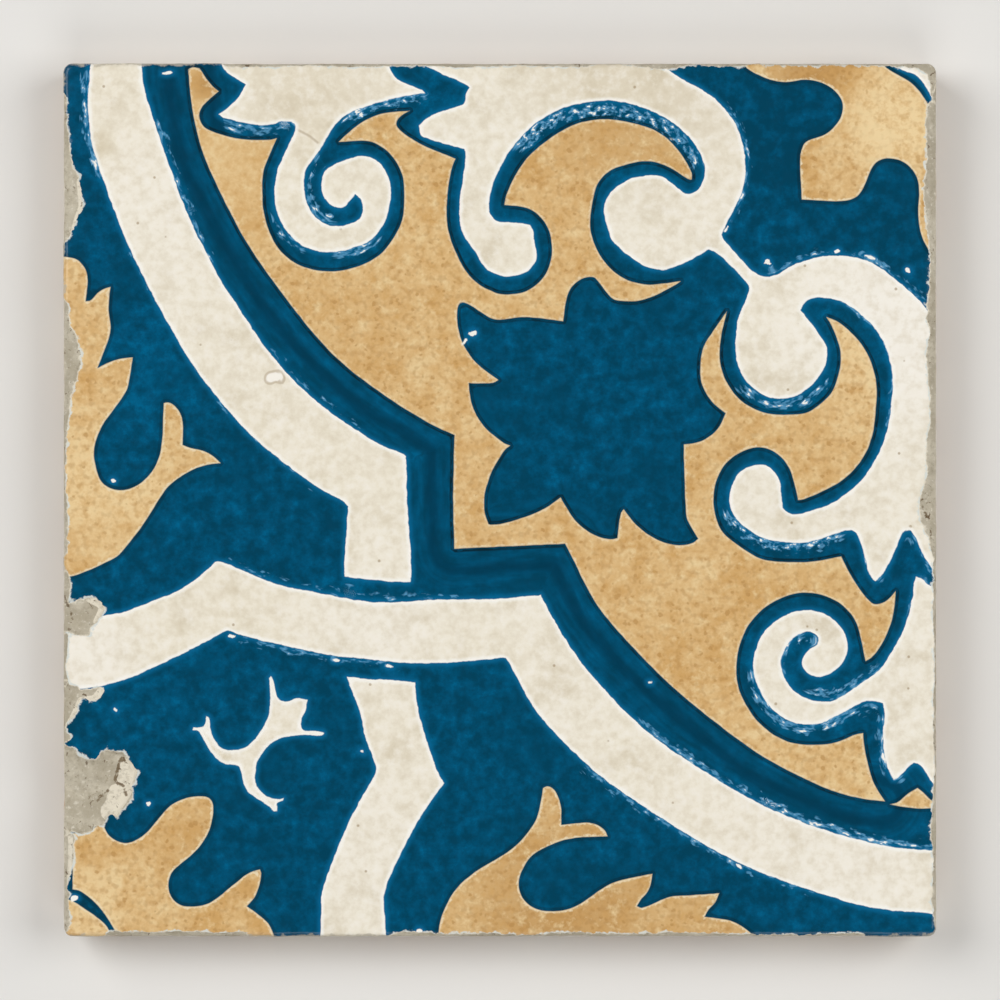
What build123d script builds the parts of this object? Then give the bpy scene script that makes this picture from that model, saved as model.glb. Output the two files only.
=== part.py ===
from build123d import *
from math import sqrt
import os

# Square glazed tile with a keyed back and worn, chipped edges, in millimetres.
# Origin at the centre of the back, +Z out of the glazed face.

# Overall sizes, measured at the glazed face
tile_width = 140.0
tile_depth = 140.0
tile_thickness = 10.0

# Edges: a straight land under the face, drafted sides below it that leave the press,
# and glaze that rolls over the face's edge
edge_land = 2.2
side_draft = 5.5
corner_radius = 1.6
face_edge_radius = 0.9
back_edge_chamfer = 0.6

# Keyed back: a grid of shallow square cells between ribs, which the mortar grips
cells_across = 6
cells_along = 6
key_depth = 1.5
rim_width = 6.0
rib_width = 3.2
cell_draft = 14.0
cell_corner_radius = 1.4

# Chips broken out of the face's edges. Each flake is a shallow shell-shaped scoop with four sizes:
# its place along the edge from the tile's centre, its reach in from the edge,
# its width along the edge and its depth below the face. The larger chips are two flakes each.
left_edge_chips = [
    (47.5, 3.1, 14.5, 0.8),
    (22.5, 2.9, 15.0, 1.1),
    (-17.7, 7.4, 4.8, 1.8),
    (-20.6, 4.8, 4.0, 1.2),
    (-30.8, 6.4, 4.2, 1.5),
    (-33.8, 2.4, 5.0, 0.9),
    (-45.0, 11.4, 10.0, 2.6),
    (-50.4, 6.2, 6.4, 1.7),
    (-61.0, 1.6, 15.0, 1.0),
]
right_edge_chips = [
    (57.0, 1.9, 17.0, 0.8),
    (33.0, 1.6, 28.0, 0.6),
    (8.0, 1.8, 22.0, 0.8),
    (-1.0, 2.8, 6.0, 0.9),
    (-51.0, 1.3, 14.0, 0.6),
]
far_edge_chips = [
    (23.0, 1.2, 24.0, 0.5),
    (50.0, 1.6, 20.0, 0.7),
]
near_edge_chips = [
    (-51.0, 1.2, 24.0, 0.5),
]

# Chip off the far right corner, measured from the corner's two edges
corner_chip_reach = 2.2
corner_chip_depth = 1.1

back_width = tile_width - 2 * rim_width
back_depth = tile_depth - 2 * rim_width
cell_width = (back_width - (cells_across - 1) * rib_width) / cells_across
cell_length = (back_depth - (cells_along - 1) * rib_width) / cells_along


def scoop(reach, width, depth):
    """Radius of a ball that cuts a scoop of this reach, width and depth out of a straight edge,
    and how far the ball's centre lies beyond the edge and above the face."""
    half_chord = width / 2
    mark_radius = (reach + half_chord**2 / reach) / 2
    beyond = mark_radius - reach
    deepest_chord = half_chord if beyond > 0 else mark_radius
    above = (deepest_chord**2 - depth**2) / (2 * depth)
    return sqrt(mark_radius**2 + above**2), beyond, above


with BuildPart() as tile:
    # Body: full size down to the land, then drawn in by the draft towards the back
    with BuildSketch(Plane.XY.offset(tile_thickness)):
        RectangleRounded(tile_width, tile_depth, corner_radius)
    extrude(amount=-edge_land)
    with BuildSketch(Plane.XY.offset(tile_thickness - edge_land)):
        RectangleRounded(tile_width, tile_depth, corner_radius)
    extrude(amount=edge_land - tile_thickness, taper=side_draft)
    fillet(tile.faces().sort_by(Axis.Z)[-1].edges(), face_edge_radius)
    chamfer(tile.faces().sort_by(Axis.Z)[0].edges(), back_edge_chamfer)

    # Key cells in the back, their walls drafted so that they leave the press
    with BuildSketch(Plane.XY):
        with GridLocations(cell_width + rib_width, cell_length + rib_width, cells_across, cells_along):
            RectangleRounded(cell_width, cell_length, cell_corner_radius)
    extrude(amount=key_depth, taper=cell_draft, mode=Mode.SUBTRACT)

    # Chips along the edges
    for along, reach, width, depth in left_edge_chips:
        radius, beyond, above = scoop(reach, width, depth)
        with Locations((-tile_width / 2 - beyond, along, tile_thickness + above)):
            Sphere(radius, mode=Mode.SUBTRACT)
    for along, reach, width, depth in right_edge_chips:
        radius, beyond, above = scoop(reach, width, depth)
        with Locations((tile_width / 2 + beyond, along, tile_thickness + above)):
            Sphere(radius, mode=Mode.SUBTRACT)
    for along, reach, width, depth in far_edge_chips:
        radius, beyond, above = scoop(reach, width, depth)
        with Locations((along, tile_depth / 2 + beyond, tile_thickness + above)):
            Sphere(radius, mode=Mode.SUBTRACT)
    for along, reach, width, depth in near_edge_chips:
        radius, beyond, above = scoop(reach, width, depth)
        with Locations((along, -tile_depth / 2 - beyond, tile_thickness + above)):
            Sphere(radius, mode=Mode.SUBTRACT)

    # Chip off the corner
    corner_ball = corner_chip_reach * sqrt(2)
    with Locations(
        (
            tile_width / 2,
            tile_depth / 2,
            tile_thickness + corner_ball - corner_chip_depth,
        )
    ):
        Sphere(corner_ball, mode=Mode.SUBTRACT)

tile.part.label = "tile"

os.makedirs("parts", exist_ok=True)
export_step(tile.part, "parts/tile.step")

print("solids", len(tile.part.solids()), "faces", len(tile.part.faces()))
print("box", tile.part.bounding_box())
print("volume cm3", round(tile.part.volume / 1000, 2))
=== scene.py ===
import math
import bpy
import numpy as np
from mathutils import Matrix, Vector, kdtree, noise
from mathutils.geometry import delaunay_2d_cdt


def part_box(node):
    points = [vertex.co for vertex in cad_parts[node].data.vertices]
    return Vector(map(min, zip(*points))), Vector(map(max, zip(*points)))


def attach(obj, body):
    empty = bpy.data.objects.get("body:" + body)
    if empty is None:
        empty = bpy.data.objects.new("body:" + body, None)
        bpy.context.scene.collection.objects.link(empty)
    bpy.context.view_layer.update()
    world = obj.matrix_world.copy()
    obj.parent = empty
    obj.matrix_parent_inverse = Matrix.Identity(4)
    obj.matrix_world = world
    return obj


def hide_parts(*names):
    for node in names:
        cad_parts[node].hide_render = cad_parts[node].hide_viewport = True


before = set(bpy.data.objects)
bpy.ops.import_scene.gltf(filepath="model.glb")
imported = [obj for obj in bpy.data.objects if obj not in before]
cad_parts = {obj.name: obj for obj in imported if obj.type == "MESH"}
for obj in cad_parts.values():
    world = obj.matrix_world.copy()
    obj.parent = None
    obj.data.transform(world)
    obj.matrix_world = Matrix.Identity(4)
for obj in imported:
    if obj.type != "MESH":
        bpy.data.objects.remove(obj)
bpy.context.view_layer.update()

# A square majolica tile: white tin glaze, painted through stencils in cobalt blue and ochre,
# pressed clay body with a keyed back, worn and chipped at its edges.
# Lengths are millimetres on the tile and turn to metres where its mesh and the camera are made. The floor
# and the lamps are in metres.

_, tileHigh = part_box("tile")
metre = 0.001
halfWidth = tileHigh.x / metre
thickness = tileHigh.z / metre

tileForm = {
    "cornerRadius": 1.6,
    "rolledEdge": 0.9,                     # the glaze rolls over the face's edge
    "land": 2.2,                           # straight side under the face, then the draft
    "draftAngle": 5.5,
    "backChamfer": 0.6,
    "cellsEachWay": 6,
    "backRim": 6.0,
    "ribWidth": 3.2,
    "cellDepth": 1.5,
    "cellDraft": 14.0,
    "cellCorner": 1.4,
    "leastRadius": 0.25,                   # of the corners of the rolled edge's inner rings
    "bendPoints": 8, "cellBendPoints": 6,  # along a quarter turn
    "faceGrid": 0.8,                       # spacing of the loose mesh points on the face
    "chipGrid": 0.36,                      # finer where the body is broken open
    "backGrid": 2.2,
    "backClear": 2.4,                      # bare of loose points along the back's edge
    "paintStep": 0.36,                     # spacing of the points along a painted edge
    "breakStep": 0.3,                      # the same along a break
    "ringStep": 0.6,                       # and along the tile's own edge
    "sagging": 0.09,                       # the glazed face is never quite flat
    "sagSize": 34, "waveSize": 9,          # lumps of that sag, across the face
    "sharpAngle": 38,                      # edges sharper than this, in degrees, aren't smoothed
}

# The camera looks straight down on the face through a long lens.
cameraSetup = {
    "lens": 200.0, "sensor": 36.0, "frameWidth": 160.0,
    "clipFrom": 0.01, "clipTo": 20.0,      # metres
}
camera = bpy.data.objects.new("overTile", bpy.data.cameras.new("overTile"))
camera.data.lens = cameraSetup["lens"]
camera.data.sensor_width = cameraSetup["sensor"]
farAway = cameraSetup["frameWidth"] * metre * cameraSetup["lens"] / cameraSetup["sensor"]
camera.location = (0, 0, tileHigh.z + farAway)
camera.data.clip_start, camera.data.clip_end = cameraSetup["clipFrom"], cameraSetup["clipTo"]
bpy.context.scene.collection.objects.link(camera)
bpy.context.scene.camera = camera

# The painting, in mm from the tile's centre, x right and y up. An outline is a closed smooth curve
# through its points, and a third value of 1 makes a point a sharp corner. What lies between is blue.
ochrePaint = {
    "leafField": [
        (-49.9, 68.9, 1), (-49.3, 63), (-48, 57), (-45.6, 51), (-40.4, 41), (-32.6, 30.1), (-26, 22.6),
        (-18, 16.4), (-10.6, 11.9), (-7.3, 10.4, 1), (-7.5, 0), (-7.3, -7.8, 1), (10.4, -7, 1),
        (11.9, -9.8), (13.4, -13), (17, -18.8), (26, -28.4), (34, -35.2), (42, -41), (50, -45.2),
        (54, -46.8), (58, -47.8), (61.6, -48.2, 1), (60.4, -46.4), (59.4, -44.2), (58.3, -39.6),
        (58.1, -37.3, 1), (56.4, -37.7), (54.4, -38.6), (52, -39.1), (49, -39.2), (46.4, -38.8),
        (43.8, -37.6), (41.4, -35.6), (39.6, -33.2), (38.3, -30.6), (37.8, -28), (37.9, -25.4),
        (38.4, -23), (39.5, -20.4), (41.2, -18.2), (43.2, -16.6), (45.6, -15.4), (48.4, -14.8),
        (51.2, -15.1), (53.8, -16.1), (55.8, -17.8), (57.2, -20), (58.5, -25.8, 1), (59.8, -24.9),
        (61.2, -22.9), (62.4, -20.2), (63.1, -17.4), (63.3, -14.6, 1), (61.9, -16.1), (60.4, -16.7),
        (59, -16.1), (56.5, -12.7), (54.6, -9, 1), (49.6, -9.9), (43.6, -9.8), (40.8, -9),
        (36.2, -5.8), (34.8, -3.6), (34.2, -1.2), (34.2, 1.4), (34.9, 4), (36.4, 6.2), (38.4, 7.6),
        (40.6, 8.4), (42.6, 8.3), (44.6, 7.3), (46, 5.6), (46.9, 3.5), (47.7, 0, 1), (49.2, 0.3),
        (53.6, 2.4), (55.8, 4), (57.6, 6), (59, 8.6), (59.8, 11.4), (60.3, 17), (60, 20), (59.2, 22.6),
        (57.8, 25), (56, 27), (54, 28.6), (52.2, 29.3, 1), (53.4, 27.2), (54.6, 23), (53.6, 18.2),
        (52, 16), (50, 14.4), (47.8, 13.7), (42.4, 13.9), (38, 16.4), (35.5, 20.6), (35.2, 25),
        (36.3, 30.2, 1), (33.2, 25.7), (32.3, 23.6), (32.1, 19.2), (33.8, 15.8), (36.1, 13.9, 1),
        (35.3, 12.1), (34.3, 10.8), (32.8, 9.7), (31.2, 9.1), (29.4, 8.9, 1), (29.7, -1.2),
        (30.1, -3.4), (31.7, -6.2, 1), (30.6, -7), (28.6, -7.3), (26.2, -6.8), (23.8, -5.6),
        (21.8, -4), (19.8, -1.5, 1), (19.2, -2.6), (18.8, -6.1, 1), (17.6, -6.3), (15.8, -5.9),
        (14, -5), (12.4, -3.7), (11, -1.9), (9.7, 0.4, 1), (6.4, -1.8), (1.2, -3.6), (-0.8, -3.9),
        (-2.1, -3.5), (-2.6, 0.2), (-1.4, 4.4), (0.6, 7.8), (1.6, 8.7, 1), (0.2, 9.4), (-3, 12.2),
        (-4.6, 15.6), (-5, 18.7, 1), (-1.6, 18.7), (-0.3, 19.2, 1), (-4, 22.1), (-6.3, 25.8),
        (-6.9, 30), (-5.9, 31.8), (-1.6, 29.1), (0.6, 28.9), (4, 29.3), (10.1, 28.6, 1), (10.7, 32.6),
        (11.6, 34.3), (13.1, 35.4), (14.6, 35.7), (15.6, 35.2), (17.5, 32.7), (18.9, 31.9),
        (22.6, 31.9), (26.8, 33.7), (28.9, 35, 1), (25.2, 34.5), (23, 34.5), (20.8, 35), (18.6, 36.2),
        (16.8, 38), (15.4, 40.2), (14.6, 42.5), (14.4, 45), (15.3, 50), (16.6, 51.9), (18.6, 53.2),
        (23.4, 54.3), (27, 53.3), (30, 51.4), (30.7, 51.3, 1), (30.5, 52.8), (28.2, 56.4),
        (24.5, 59.3), (17.8, 60.9), (12.2, 60.2), (7.2, 57.3), (3.5, 53.7), (1.2, 49.3),
        (0.7, 47.2, 1), (3, 47), (4.9, 46.5), (6.6, 45.2), (7.8, 43.3), (8.3, 41), (8.2, 38.6),
        (7.4, 36.2), (5.8, 34.4), (3.7, 33.2), (1.2, 32.9), (-1.2, 33.3), (-5.2, 36.2), (-8.2, 42.7),
        (-8.5, 48), (-7.8, 52.8), (-7.1, 54.6, 1), (-12.8, 57), (-16, 59.2), (-16.6, 60.3),
        (-15.9, 61.4), (-14.4, 62.3, 1), (-19, 61.8), (-22.8, 60), (-25.8, 57.3, 1), (-21.6, 57.5),
        (-19.6, 56.9), (-17.6, 55.5), (-16.2, 53.4), (-15.4, 51), (-15.4, 46), (-16.2, 43.4),
        (-19, 39.4), (-23.5, 37.1), (-28.4, 36.6), (-32.8, 37.9), (-36, 41), (-37.8, 46), (-38, 51.6),
        (-37.4, 54), (-35.7, 57.9, 1), (-37.2, 57.6), (-42, 57.8), (-46.3, 59.1), (-47.6, 60),
        (-48.1, 61.2), (-48, 62.3), (-47.2, 63.5), (-45, 65.4, 1), (-46.4, 66.6), (-48.1, 69.1, 1),
        (-49.2, 69.3),
    ],
    "leafTip": [
        (62.4, -48.7, 1), (63.8, -48.3), (65.2, -47), (66.8, -46.1, 1), (68, -47), (69.2, -48.2),
        (71.5, -49, 1), (68, -49.4), (65, -49.2),
    ],
    "leftLeaf": [
        (-72, 39.2, 1), (-68.2, 38.7), (-66.9, 37.8), (-66.1, 36.3), (-66, 34.4), (-66.3, 31.8, 1),
        (-65.4, 32), (-64.4, 33.1), (-63.3, 33.8), (-62.3, 34.1, 1), (-62.7, 30.6), (-62.3, 27),
        (-64.4, 21.1, 1), (-61.4, 22.5), (-58.8, 22.8, 1), (-59.4, 18.8), (-60.1, 16.9), (-63.2, 12.6),
        (-64.3, 10.6), (-64.9, 8.4), (-64.9, 6.2), (-63.6, 2.6), (-60.2, 1.5), (-56.6, 3.4),
        (-54.3, 7.7), (-53.8, 15.5, 1), (-53, 15.6), (-51.9, 14.9), (-51, 13.5), (-50.7, 11.4),
        (-50.8, 8.8, 1), (-49.4, 8.3), (-47.6, 7.9), (-46, 7.1), (-44.7, 5.9, 1), (-46.6, 5.7),
        (-48.6, 5.1), (-50.6, 4.1), (-52.8, 2.5), (-54.2, 0.7), (-57, -3.8), (-60.1, -7.8),
        (-61.9, -9.4), (-68, -12.1), (-72, -12.6, 1),
    ],
    "lowLeaf": [
        (-9.9, -72, 1), (-9.6, -67.5), (-7.6, -63), (-4.4, -59.8), (2, -55.8), (5.2, -52.2),
        (6.2, -49.9), (6.9, -46.1, 1), (7.6, -45.8), (8.6, -46.3), (9.4, -47.7), (9.8, -49.5),
        (9.8, -52, 1), (13.8, -51.6), (15.6, -52), (16.8, -52.9), (17.2, -53.8, 1), (11, -54.2),
        (6, -56.2), (4.2, -58), (3.2, -60), (3, -62), (3.8, -64), (5.4, -65.3), (7.4, -65.8),
        (10, -65.7), (12.4, -64.9), (16.8, -61.9), (19.4, -60.8), (24.4, -59.8, 1), (24.2, -61.2),
        (23.6, -62.7), (22.6, -63.8), (21.9, -65, 1), (23.2, -65.2), (27, -63.5), (30, -63.3),
        (35.1, -62.9, 1), (34.4, -64.4), (33.3, -65.6), (32.7, -66.7, 1), (36.4, -67.2), (38.4, -68),
        (40, -69.2), (41, -70.6), (41.3, -72, 1),
    ],
    "lowCloud": [
        (-68.3, -53.3, 1), (-66.2, -53.3), (-63.5, -51.4, 1), (-63.3, -52.3), (-62.6, -53.6),
        (-61.3, -54.6), (-59.8, -54.9), (-58.2, -54.4), (-56.4, -53.1), (-53.4, -49.5), (-51.6, -48.2),
        (-49.4, -47.5), (-46.2, -47.7), (-46.1, -51.6), (-48.2, -55.7), (-51.8, -58.8), (-52.8, -60.2),
        (-53.1, -61.7), (-52.8, -63.2), (-51.6, -64.6), (-49.7, -65.1), (-47.5, -64.9), (-45.5, -63.9),
        (-41.6, -60.7), (-39.8, -59.5), (-38.4, -59.1, 1), (-38.2, -60.2), (-39, -63.2),
        (-40.5, -65, 1), (-37.9, -66.9), (-36.8, -68.2), (-36.2, -69.8), (-36, -72, 1),
        (-60.6, -72, 1), (-61.2, -69.6), (-64.2, -65), (-67, -62.7), (-68.4, -62.3, 1),
    ],
    "lowCorner": [
        (-72, -63.8, 1), (-69.2, -63.9), (-67.8, -64.5), (-64.2, -67), (-62.9, -68.3), (-62.2, -70),
        (-62, -72, 1), (-72, -72, 1),
    ],
    "highCloud": [
        (39, 72, 1), (39.1, 69.4), (42, 67.7), (44.2, 67), (46.4, 66.9), (48.6, 67.3), (50.8, 67),
        (52.8, 66.1), (54.2, 64.8), (54.9, 63.2), (54.6, 61.4), (53.6, 59.8), (52, 58.4), (49.2, 57.5),
        (48.3, 56.2), (48, 54), (48.3, 48.1, 1), (54, 47.8), (56.2, 48.1), (57.8, 49.2), (59.4, 53),
        (60.6, 54.3), (62.3, 54.7), (64.4, 54.2), (66, 52.9), (66.9, 51), (67.1, 49), (66.9, 46.6),
        (67.4, 42.4), (69.2, 39.2), (72, 38.2, 1), (72, 61.2, 1), (69.8, 61.6), (67, 65.6), (65, 67.3),
        (61.4, 69.5), (60.8, 72, 1),
    ],
}
whiteReserve = {
    "leftStrap": [
        (-57.4, 72, 1), (-57.2, 67.5), (-55.8, 62), (-50.6, 47.2), (-45.2, 36), (-42.6, 32),
        (-36.3, 22.8), (-29, 15.5), (-20, 9.3), (-16, 7.6), (-15.1, 7, 1), (-14.9, 4), (-14.9, 0.5),
        (-14.2, -10.5), (-14.3, -13.1, 1), (-17, -13.1), (-24.9, -12.3, 1), (-24.9, -10),
        (-24.3, -1, 1), (-25.6, 0.2), (-29.6, 2.3), (-39.2, 9.8), (-46, 17.4), (-50.2, 23.2),
        (-51.6, 25.8), (-54.6, 31), (-59.9, 41.8), (-65, 55.8), (-65.7, 60.5), (-66, 64),
        (-65.4, 70.3), (-65.4, 72, 1),
    ],
    "longStrap": [
        (-72, -19.6, 1), (-66, -19), (-62.4, -18.3), (-60, -17.9), (-56, -16.3), (-52, -14.8),
        (-48, -12.2), (-45.6, -10, 1), (-44, -10.1), (-36, -13.4), (-30, -14.7), (-21, -16.3),
        (-15, -16.3), (-12, -16), (0, -15.8), (6.5, -15.2, 1), (9.2, -20.2), (13, -26), (19, -32.8),
        (25, -38.2), (32, -43), (40, -47.8), (48, -51.4), (56, -54), (64, -55.7), (72, -56.2, 1),
        (72, -66.3, 1), (66, -65.9), (58, -64.9), (46, -61.2), (38, -57.9), (30, -53.5), (20, -47),
        (14, -42.4), (6, -34), (1.5, -26.1), (0.7, -25.2, 1), (-8, -26), (-16, -26), (-23, -25.2),
        (-26, -25), (-35, -23.2), (-41, -21.7), (-43.7, -20.8, 1), (-50, -24.2), (-60, -28.7),
        (-66, -30.1), (-72, -30.4, 1),
    ],
    "lowStrap": [
        (-24.5, -28.3, 1), (-21, -28.7), (-17.5, -28.8), (-13.6, -29.2, 1), (-13, -34.2),
        (-10.3, -42.8), (-9, -45.3, 1), (-12, -49.5), (-15.6, -55.9), (-18.2, -61.7), (-18.6, -64.4),
        (-18.2, -70), (-18.2, -72, 1), (-28.8, -72, 1), (-28.6, -65), (-28.3, -62), (-24.6, -52.4),
        (-21.4, -46.3), (-19.8, -43), (-21.4, -38.4), (-22.6, -33.2), (-23.6, -31),
    ],
    "sprig": [
        (-36.9, -28.5), (-36.3, -28.6), (-35.6, -31.6), (-34.8, -32.2), (-33.6, -32.2), (-32.6, -31.7),
        (-30.8, -32, 1), (-31.1, -33.6), (-31.8, -35), (-31.9, -36.2), (-31.2, -36.9), (-29.6, -37),
        (-28.2, -37.3), (-28.2, -37.8), (-30.4, -37.6), (-33, -37.7), (-35.4, -38.2), (-37.2, -39.5),
        (-38.6, -41.3), (-39.1, -43.2), (-39.1, -45.1), (-38.4, -46.5), (-37.2, -47.5), (-35.8, -47.9),
        (-34.6, -47.7), (-34.7, -48.1), (-35.7, -48.5), (-35.7, -49.8), (-36.2, -49.8), (-37, -48.9),
        (-40.1, -46.9), (-41, -45.3), (-41.4, -43.5), (-42, -42.4), (-43.6, -42.3), (-45.2, -41.5),
        (-46.6, -39.8), (-47.6, -37.9), (-48.3, -37), (-49.2, -36.8), (-49.1, -36.4), (-48, -36.4),
        (-47.2, -35.8), (-47, -34.6), (-46.5, -34.6), (-46.4, -36.4), (-46, -37.8), (-45.2, -39.1),
        (-44.2, -39.9), (-42.6, -40.1), (-40.7, -39.6), (-39.1, -38.2), (-37.8, -36.2), (-36.9, -34),
        (-36.7, -31.6),
    ],
    "leftScroll": [
        (-44.6, 72, 1), (-44.6, 70.2), (-43.9, 68.5), (-40.7, 66.5, 1), (-42.3, 63.9), (-45, 61.7, 1),
        (-43.4, 60.9), (-38.5, 60), (-36.3, 60.1), (-35, 60.6), (-33.4, 60.5, 1), (-32.7, 59.2),
        (-35.6, 52.8), (-36, 47.6), (-34.2, 43), (-30.6, 40.2), (-26.2, 39.7), (-22, 40.9),
        (-20.2, 42), (-18.8, 43.8), (-17.9, 46), (-17.5, 48.4), (-17.6, 50.6), (-18.3, 52.6),
        (-19.5, 54.2), (-21.2, 55), (-23.2, 54.9), (-27, 53.4), (-28.2, 52.2), (-28.6, 50.4),
        (-28.2, 48.6), (-27.2, 47.3), (-25.7, 46.8), (-24.5, 47.2), (-23.2, 49, 1), (-22.4, 48.3),
        (-21.9, 46.9), (-22.2, 45.4), (-23.3, 44.4), (-25.2, 43.9), (-27.2, 43.9), (-29, 44.8),
        (-30.5, 46.4), (-31.2, 48.6), (-31.4, 51), (-31, 53.1), (-28.8, 56), (-26.9, 59.4), (-24, 62),
        (-17, 64.3), (-12, 65.1, 1), (-12.8, 65.8), (-14.8, 66.5), (-16.5, 67.4), (-17.5, 68.8),
        (-18, 70.4), (-18.1, 72, 1),
    ],
    "bigScroll": [
        (-12.6, 72, 1), (-12.4, 70), (-11.4, 69.2), (-5.9, 66.7), (-4.9, 66, 1), (-5.5, 64.9),
        (-5.5, 63.8), (-6.6, 63), (-10.2, 61.9), (-11.8, 61), (-13, 59.9, 1), (-12.7, 58.7),
        (-11.6, 57.8), (-5.7, 56.2, 1), (-5.5, 54.4), (-6.5, 47), (-6, 42.7), (-3.8, 39.6), (-3, 38),
        (-2, 36.9), (-0.6, 36.1), (1.2, 35.8), (3.2, 36.1), (4.8, 37), (5.8, 38.6), (5.8, 40.2),
        (5.4, 41.8), (5.2, 43.2), (4.3, 44.2), (0, 44.5), (-1.2, 45.2), (-1.8, 46.6), (-1.2, 50.4),
        (1, 55), (4.4, 59.2), (8.8, 62.2), (14, 63.7), (19, 63.8), (24, 62.4), (28, 60.1), (31, 57.2),
        (32.6, 54), (32.8, 52.2), (32.4, 50.8), (31.6, 49.6), (30.4, 48.9, 1), (29.2, 49.3),
        (26.3, 51.6), (24.4, 52), (21.5, 51.6), (18.9, 50.3), (17.2, 48.5), (16.6, 46.4), (17.6, 42.4),
        (18.8, 40.6), (22.6, 37.7), (26.2, 36.8), (30, 38.2), (33.4, 40.1, 1), (34.8, 39.4),
        (36.4, 38.1), (39.6, 34.7), (39.9, 33.7), (39.3, 31.8), (38.3, 29.6), (37.8, 27), (37.7, 24),
        (38, 21.6), (39, 19.6), (40.6, 17.8), (42.6, 16.6), (45, 16.2), (47.2, 16.6), (49.2, 17.8),
        (51, 19.6), (52.1, 21.8), (52.3, 23.6), (51.8, 25.4), (48.1, 30.4, 1), (48.8, 31.6),
        (50.2, 32.4), (54.4, 31.9), (58.8, 28.8), (61.5, 25.1), (62.8, 20), (62.5, 14), (61.3, 9),
        (59, 4.7), (57.4, 2.7), (53.4, -0.4), (49, -2), (47.2, -2.3), (45.9, -1.9), (45.1, -0.8),
        (44.9, 2.5), (44.1, 4.3), (42.8, 5.4), (41.2, 5.7), (39.4, 5.1), (37.8, 3.8), (36.6, 0),
        (38.2, -3.5), (42.4, -6.2), (47.8, -6.9), (50.4, -6.5), (55.2, -4.9), (56.7, -5), (57.6, -6.4),
        (58.8, -10.9), (59.5, -12.4), (60.5, -12.7), (62.7, -9.4), (64.1, -5.7), (64.9, -4.8, 1),
        (66.1, -5.2), (67.7, -8.8), (68.7, -10.3), (70, -11.6), (72, -13, 1), (72, 29, 1),
        (68.8, 29.8), (67.3, 31.8), (61.4, 36.8), (57, 38.8), (51, 38.9), (46.2, 37.2), (44.4, 36.1),
        (41.5, 35.8), (36.3, 41), (35.5, 42.4, 1), (36.2, 44.2), (38.6, 49), (39.3, 53.4),
        (38.5, 58.2), (36, 62.6), (32.2, 65.8), (30.4, 66.6), (26.4, 69.2), (25.6, 72, 1),
    ],
    "rightScroll": [
        (66.6, -12.3, 1), (66.2, -13.8), (66, -16), (64.4, -21.2), (61.6, -26), (60, -27.8),
        (54, -31.8), (51.6, -32.3), (49, -31.8), (46.8, -30.4), (45.4, -28.4), (44.9, -26),
        (45.4, -24.2), (46.4, -22.6), (48, -21.3), (49.8, -21.1), (50.9, -22), (50.7, -23.1),
        (49.6, -23.9), (48.5, -25.2), (48.4, -26.6), (49.4, -27.8), (51, -28.3), (52.8, -27.8),
        (54.6, -26.4), (55.5, -24.6), (55.5, -22.6), (54.7, -20.6), (53.2, -19), (51.2, -17.9),
        (49, -17.6), (46.6, -18), (44.2, -19.3), (42.2, -21.2), (41, -23.6), (40.5, -26.2),
        (40.9, -28.8), (41.9, -31.2), (43.4, -33.3), (45.4, -34.9), (47.8, -35.8), (50.4, -35.9),
        (53, -35), (57.8, -32.4), (59.8, -32.1), (61.3, -32.5, 1), (61.6, -34.6), (61.3, -37),
        (61.4, -40), (61.9, -42.4), (62.7, -44.4), (63.4, -44.7), (65.1, -42.9), (66.2, -42, 1),
        (67.2, -42.3), (68.1, -43.4), (68.9, -44.8), (70.2, -45.9), (72, -46.8, 1), (72, -14.4, 1),
        (70, -13.8), (68.6, -13.6), (67.6, -12.7),
    ],
    "highCorner": [
        (72, 63.2, 1), (69.9, 63.3), (67.7, 66.8), (66.4, 68.1), (64.8, 68.6), (63.3, 69.7),
        (62.9, 72, 1), (72, 72, 1),
    ],
}

# Small spots where the blue never took or was knocked off: x, y, length, width and turn in degrees.
paleSpots = [
    (-53.2, 68.3, 1.7, 0.6, 8), (-4.3, 26.7, 1.3, 0.7, 10), (-5.7, 25.3, 1.2, 0.4, 50),
    (42.8, 38.1, 0.9, 0.8, 0), (24, -29.2, 0.8, 0.5, 20), (-61.6, -33.5, 0.6, 0.6, 0),
    (-56.2, -48.6, 0.7, 0.6, 0), (-61.9, 3, 0.5, 0.5, 0), (-12.9, -69.3, 1.3, 0.9, 80),
    (54, 39.8, 0.9, 0.5, 0), (59.2, 38.9, 1.6, 0.5, -20), (36.2, 43.4, 1.2, 0.5, 60),
    (-68.1, -63.7, 1.1, 0.9, 30), (-22, -40.2, 0.5, 0.5, 0), (38.2, -58.6, 1.3, 0.4, -35),
    (65.3, 36.7, 0.9, 0.6, -50), (-42.9, -21.8, 1.0, 0.5, -10), (-26.2, -25.6, 1.1, 0.4, -5),
    (-17.6, -26.6, 1.2, 0.5, -15),
]

# A healed blister in the white glaze, and a hairline crack given by the ends of its pieces.
glazeScar = [
    (-37.6, 19.6), (-37.2, 20.3), (-36.2, 20.6), (-35.2, 20.7), (-34.7, 20.2), (-34.5, 19.3), (-34.9, 18.7),
    (-35.8, 18.9), (-36.8, 18.6), (-37.5, 18.9),
]
hairlines = [((-32.7, 59.4), (-30.4, 58.2)), ((-30.4, 58.2), (-29.2, 57.2))]

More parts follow.
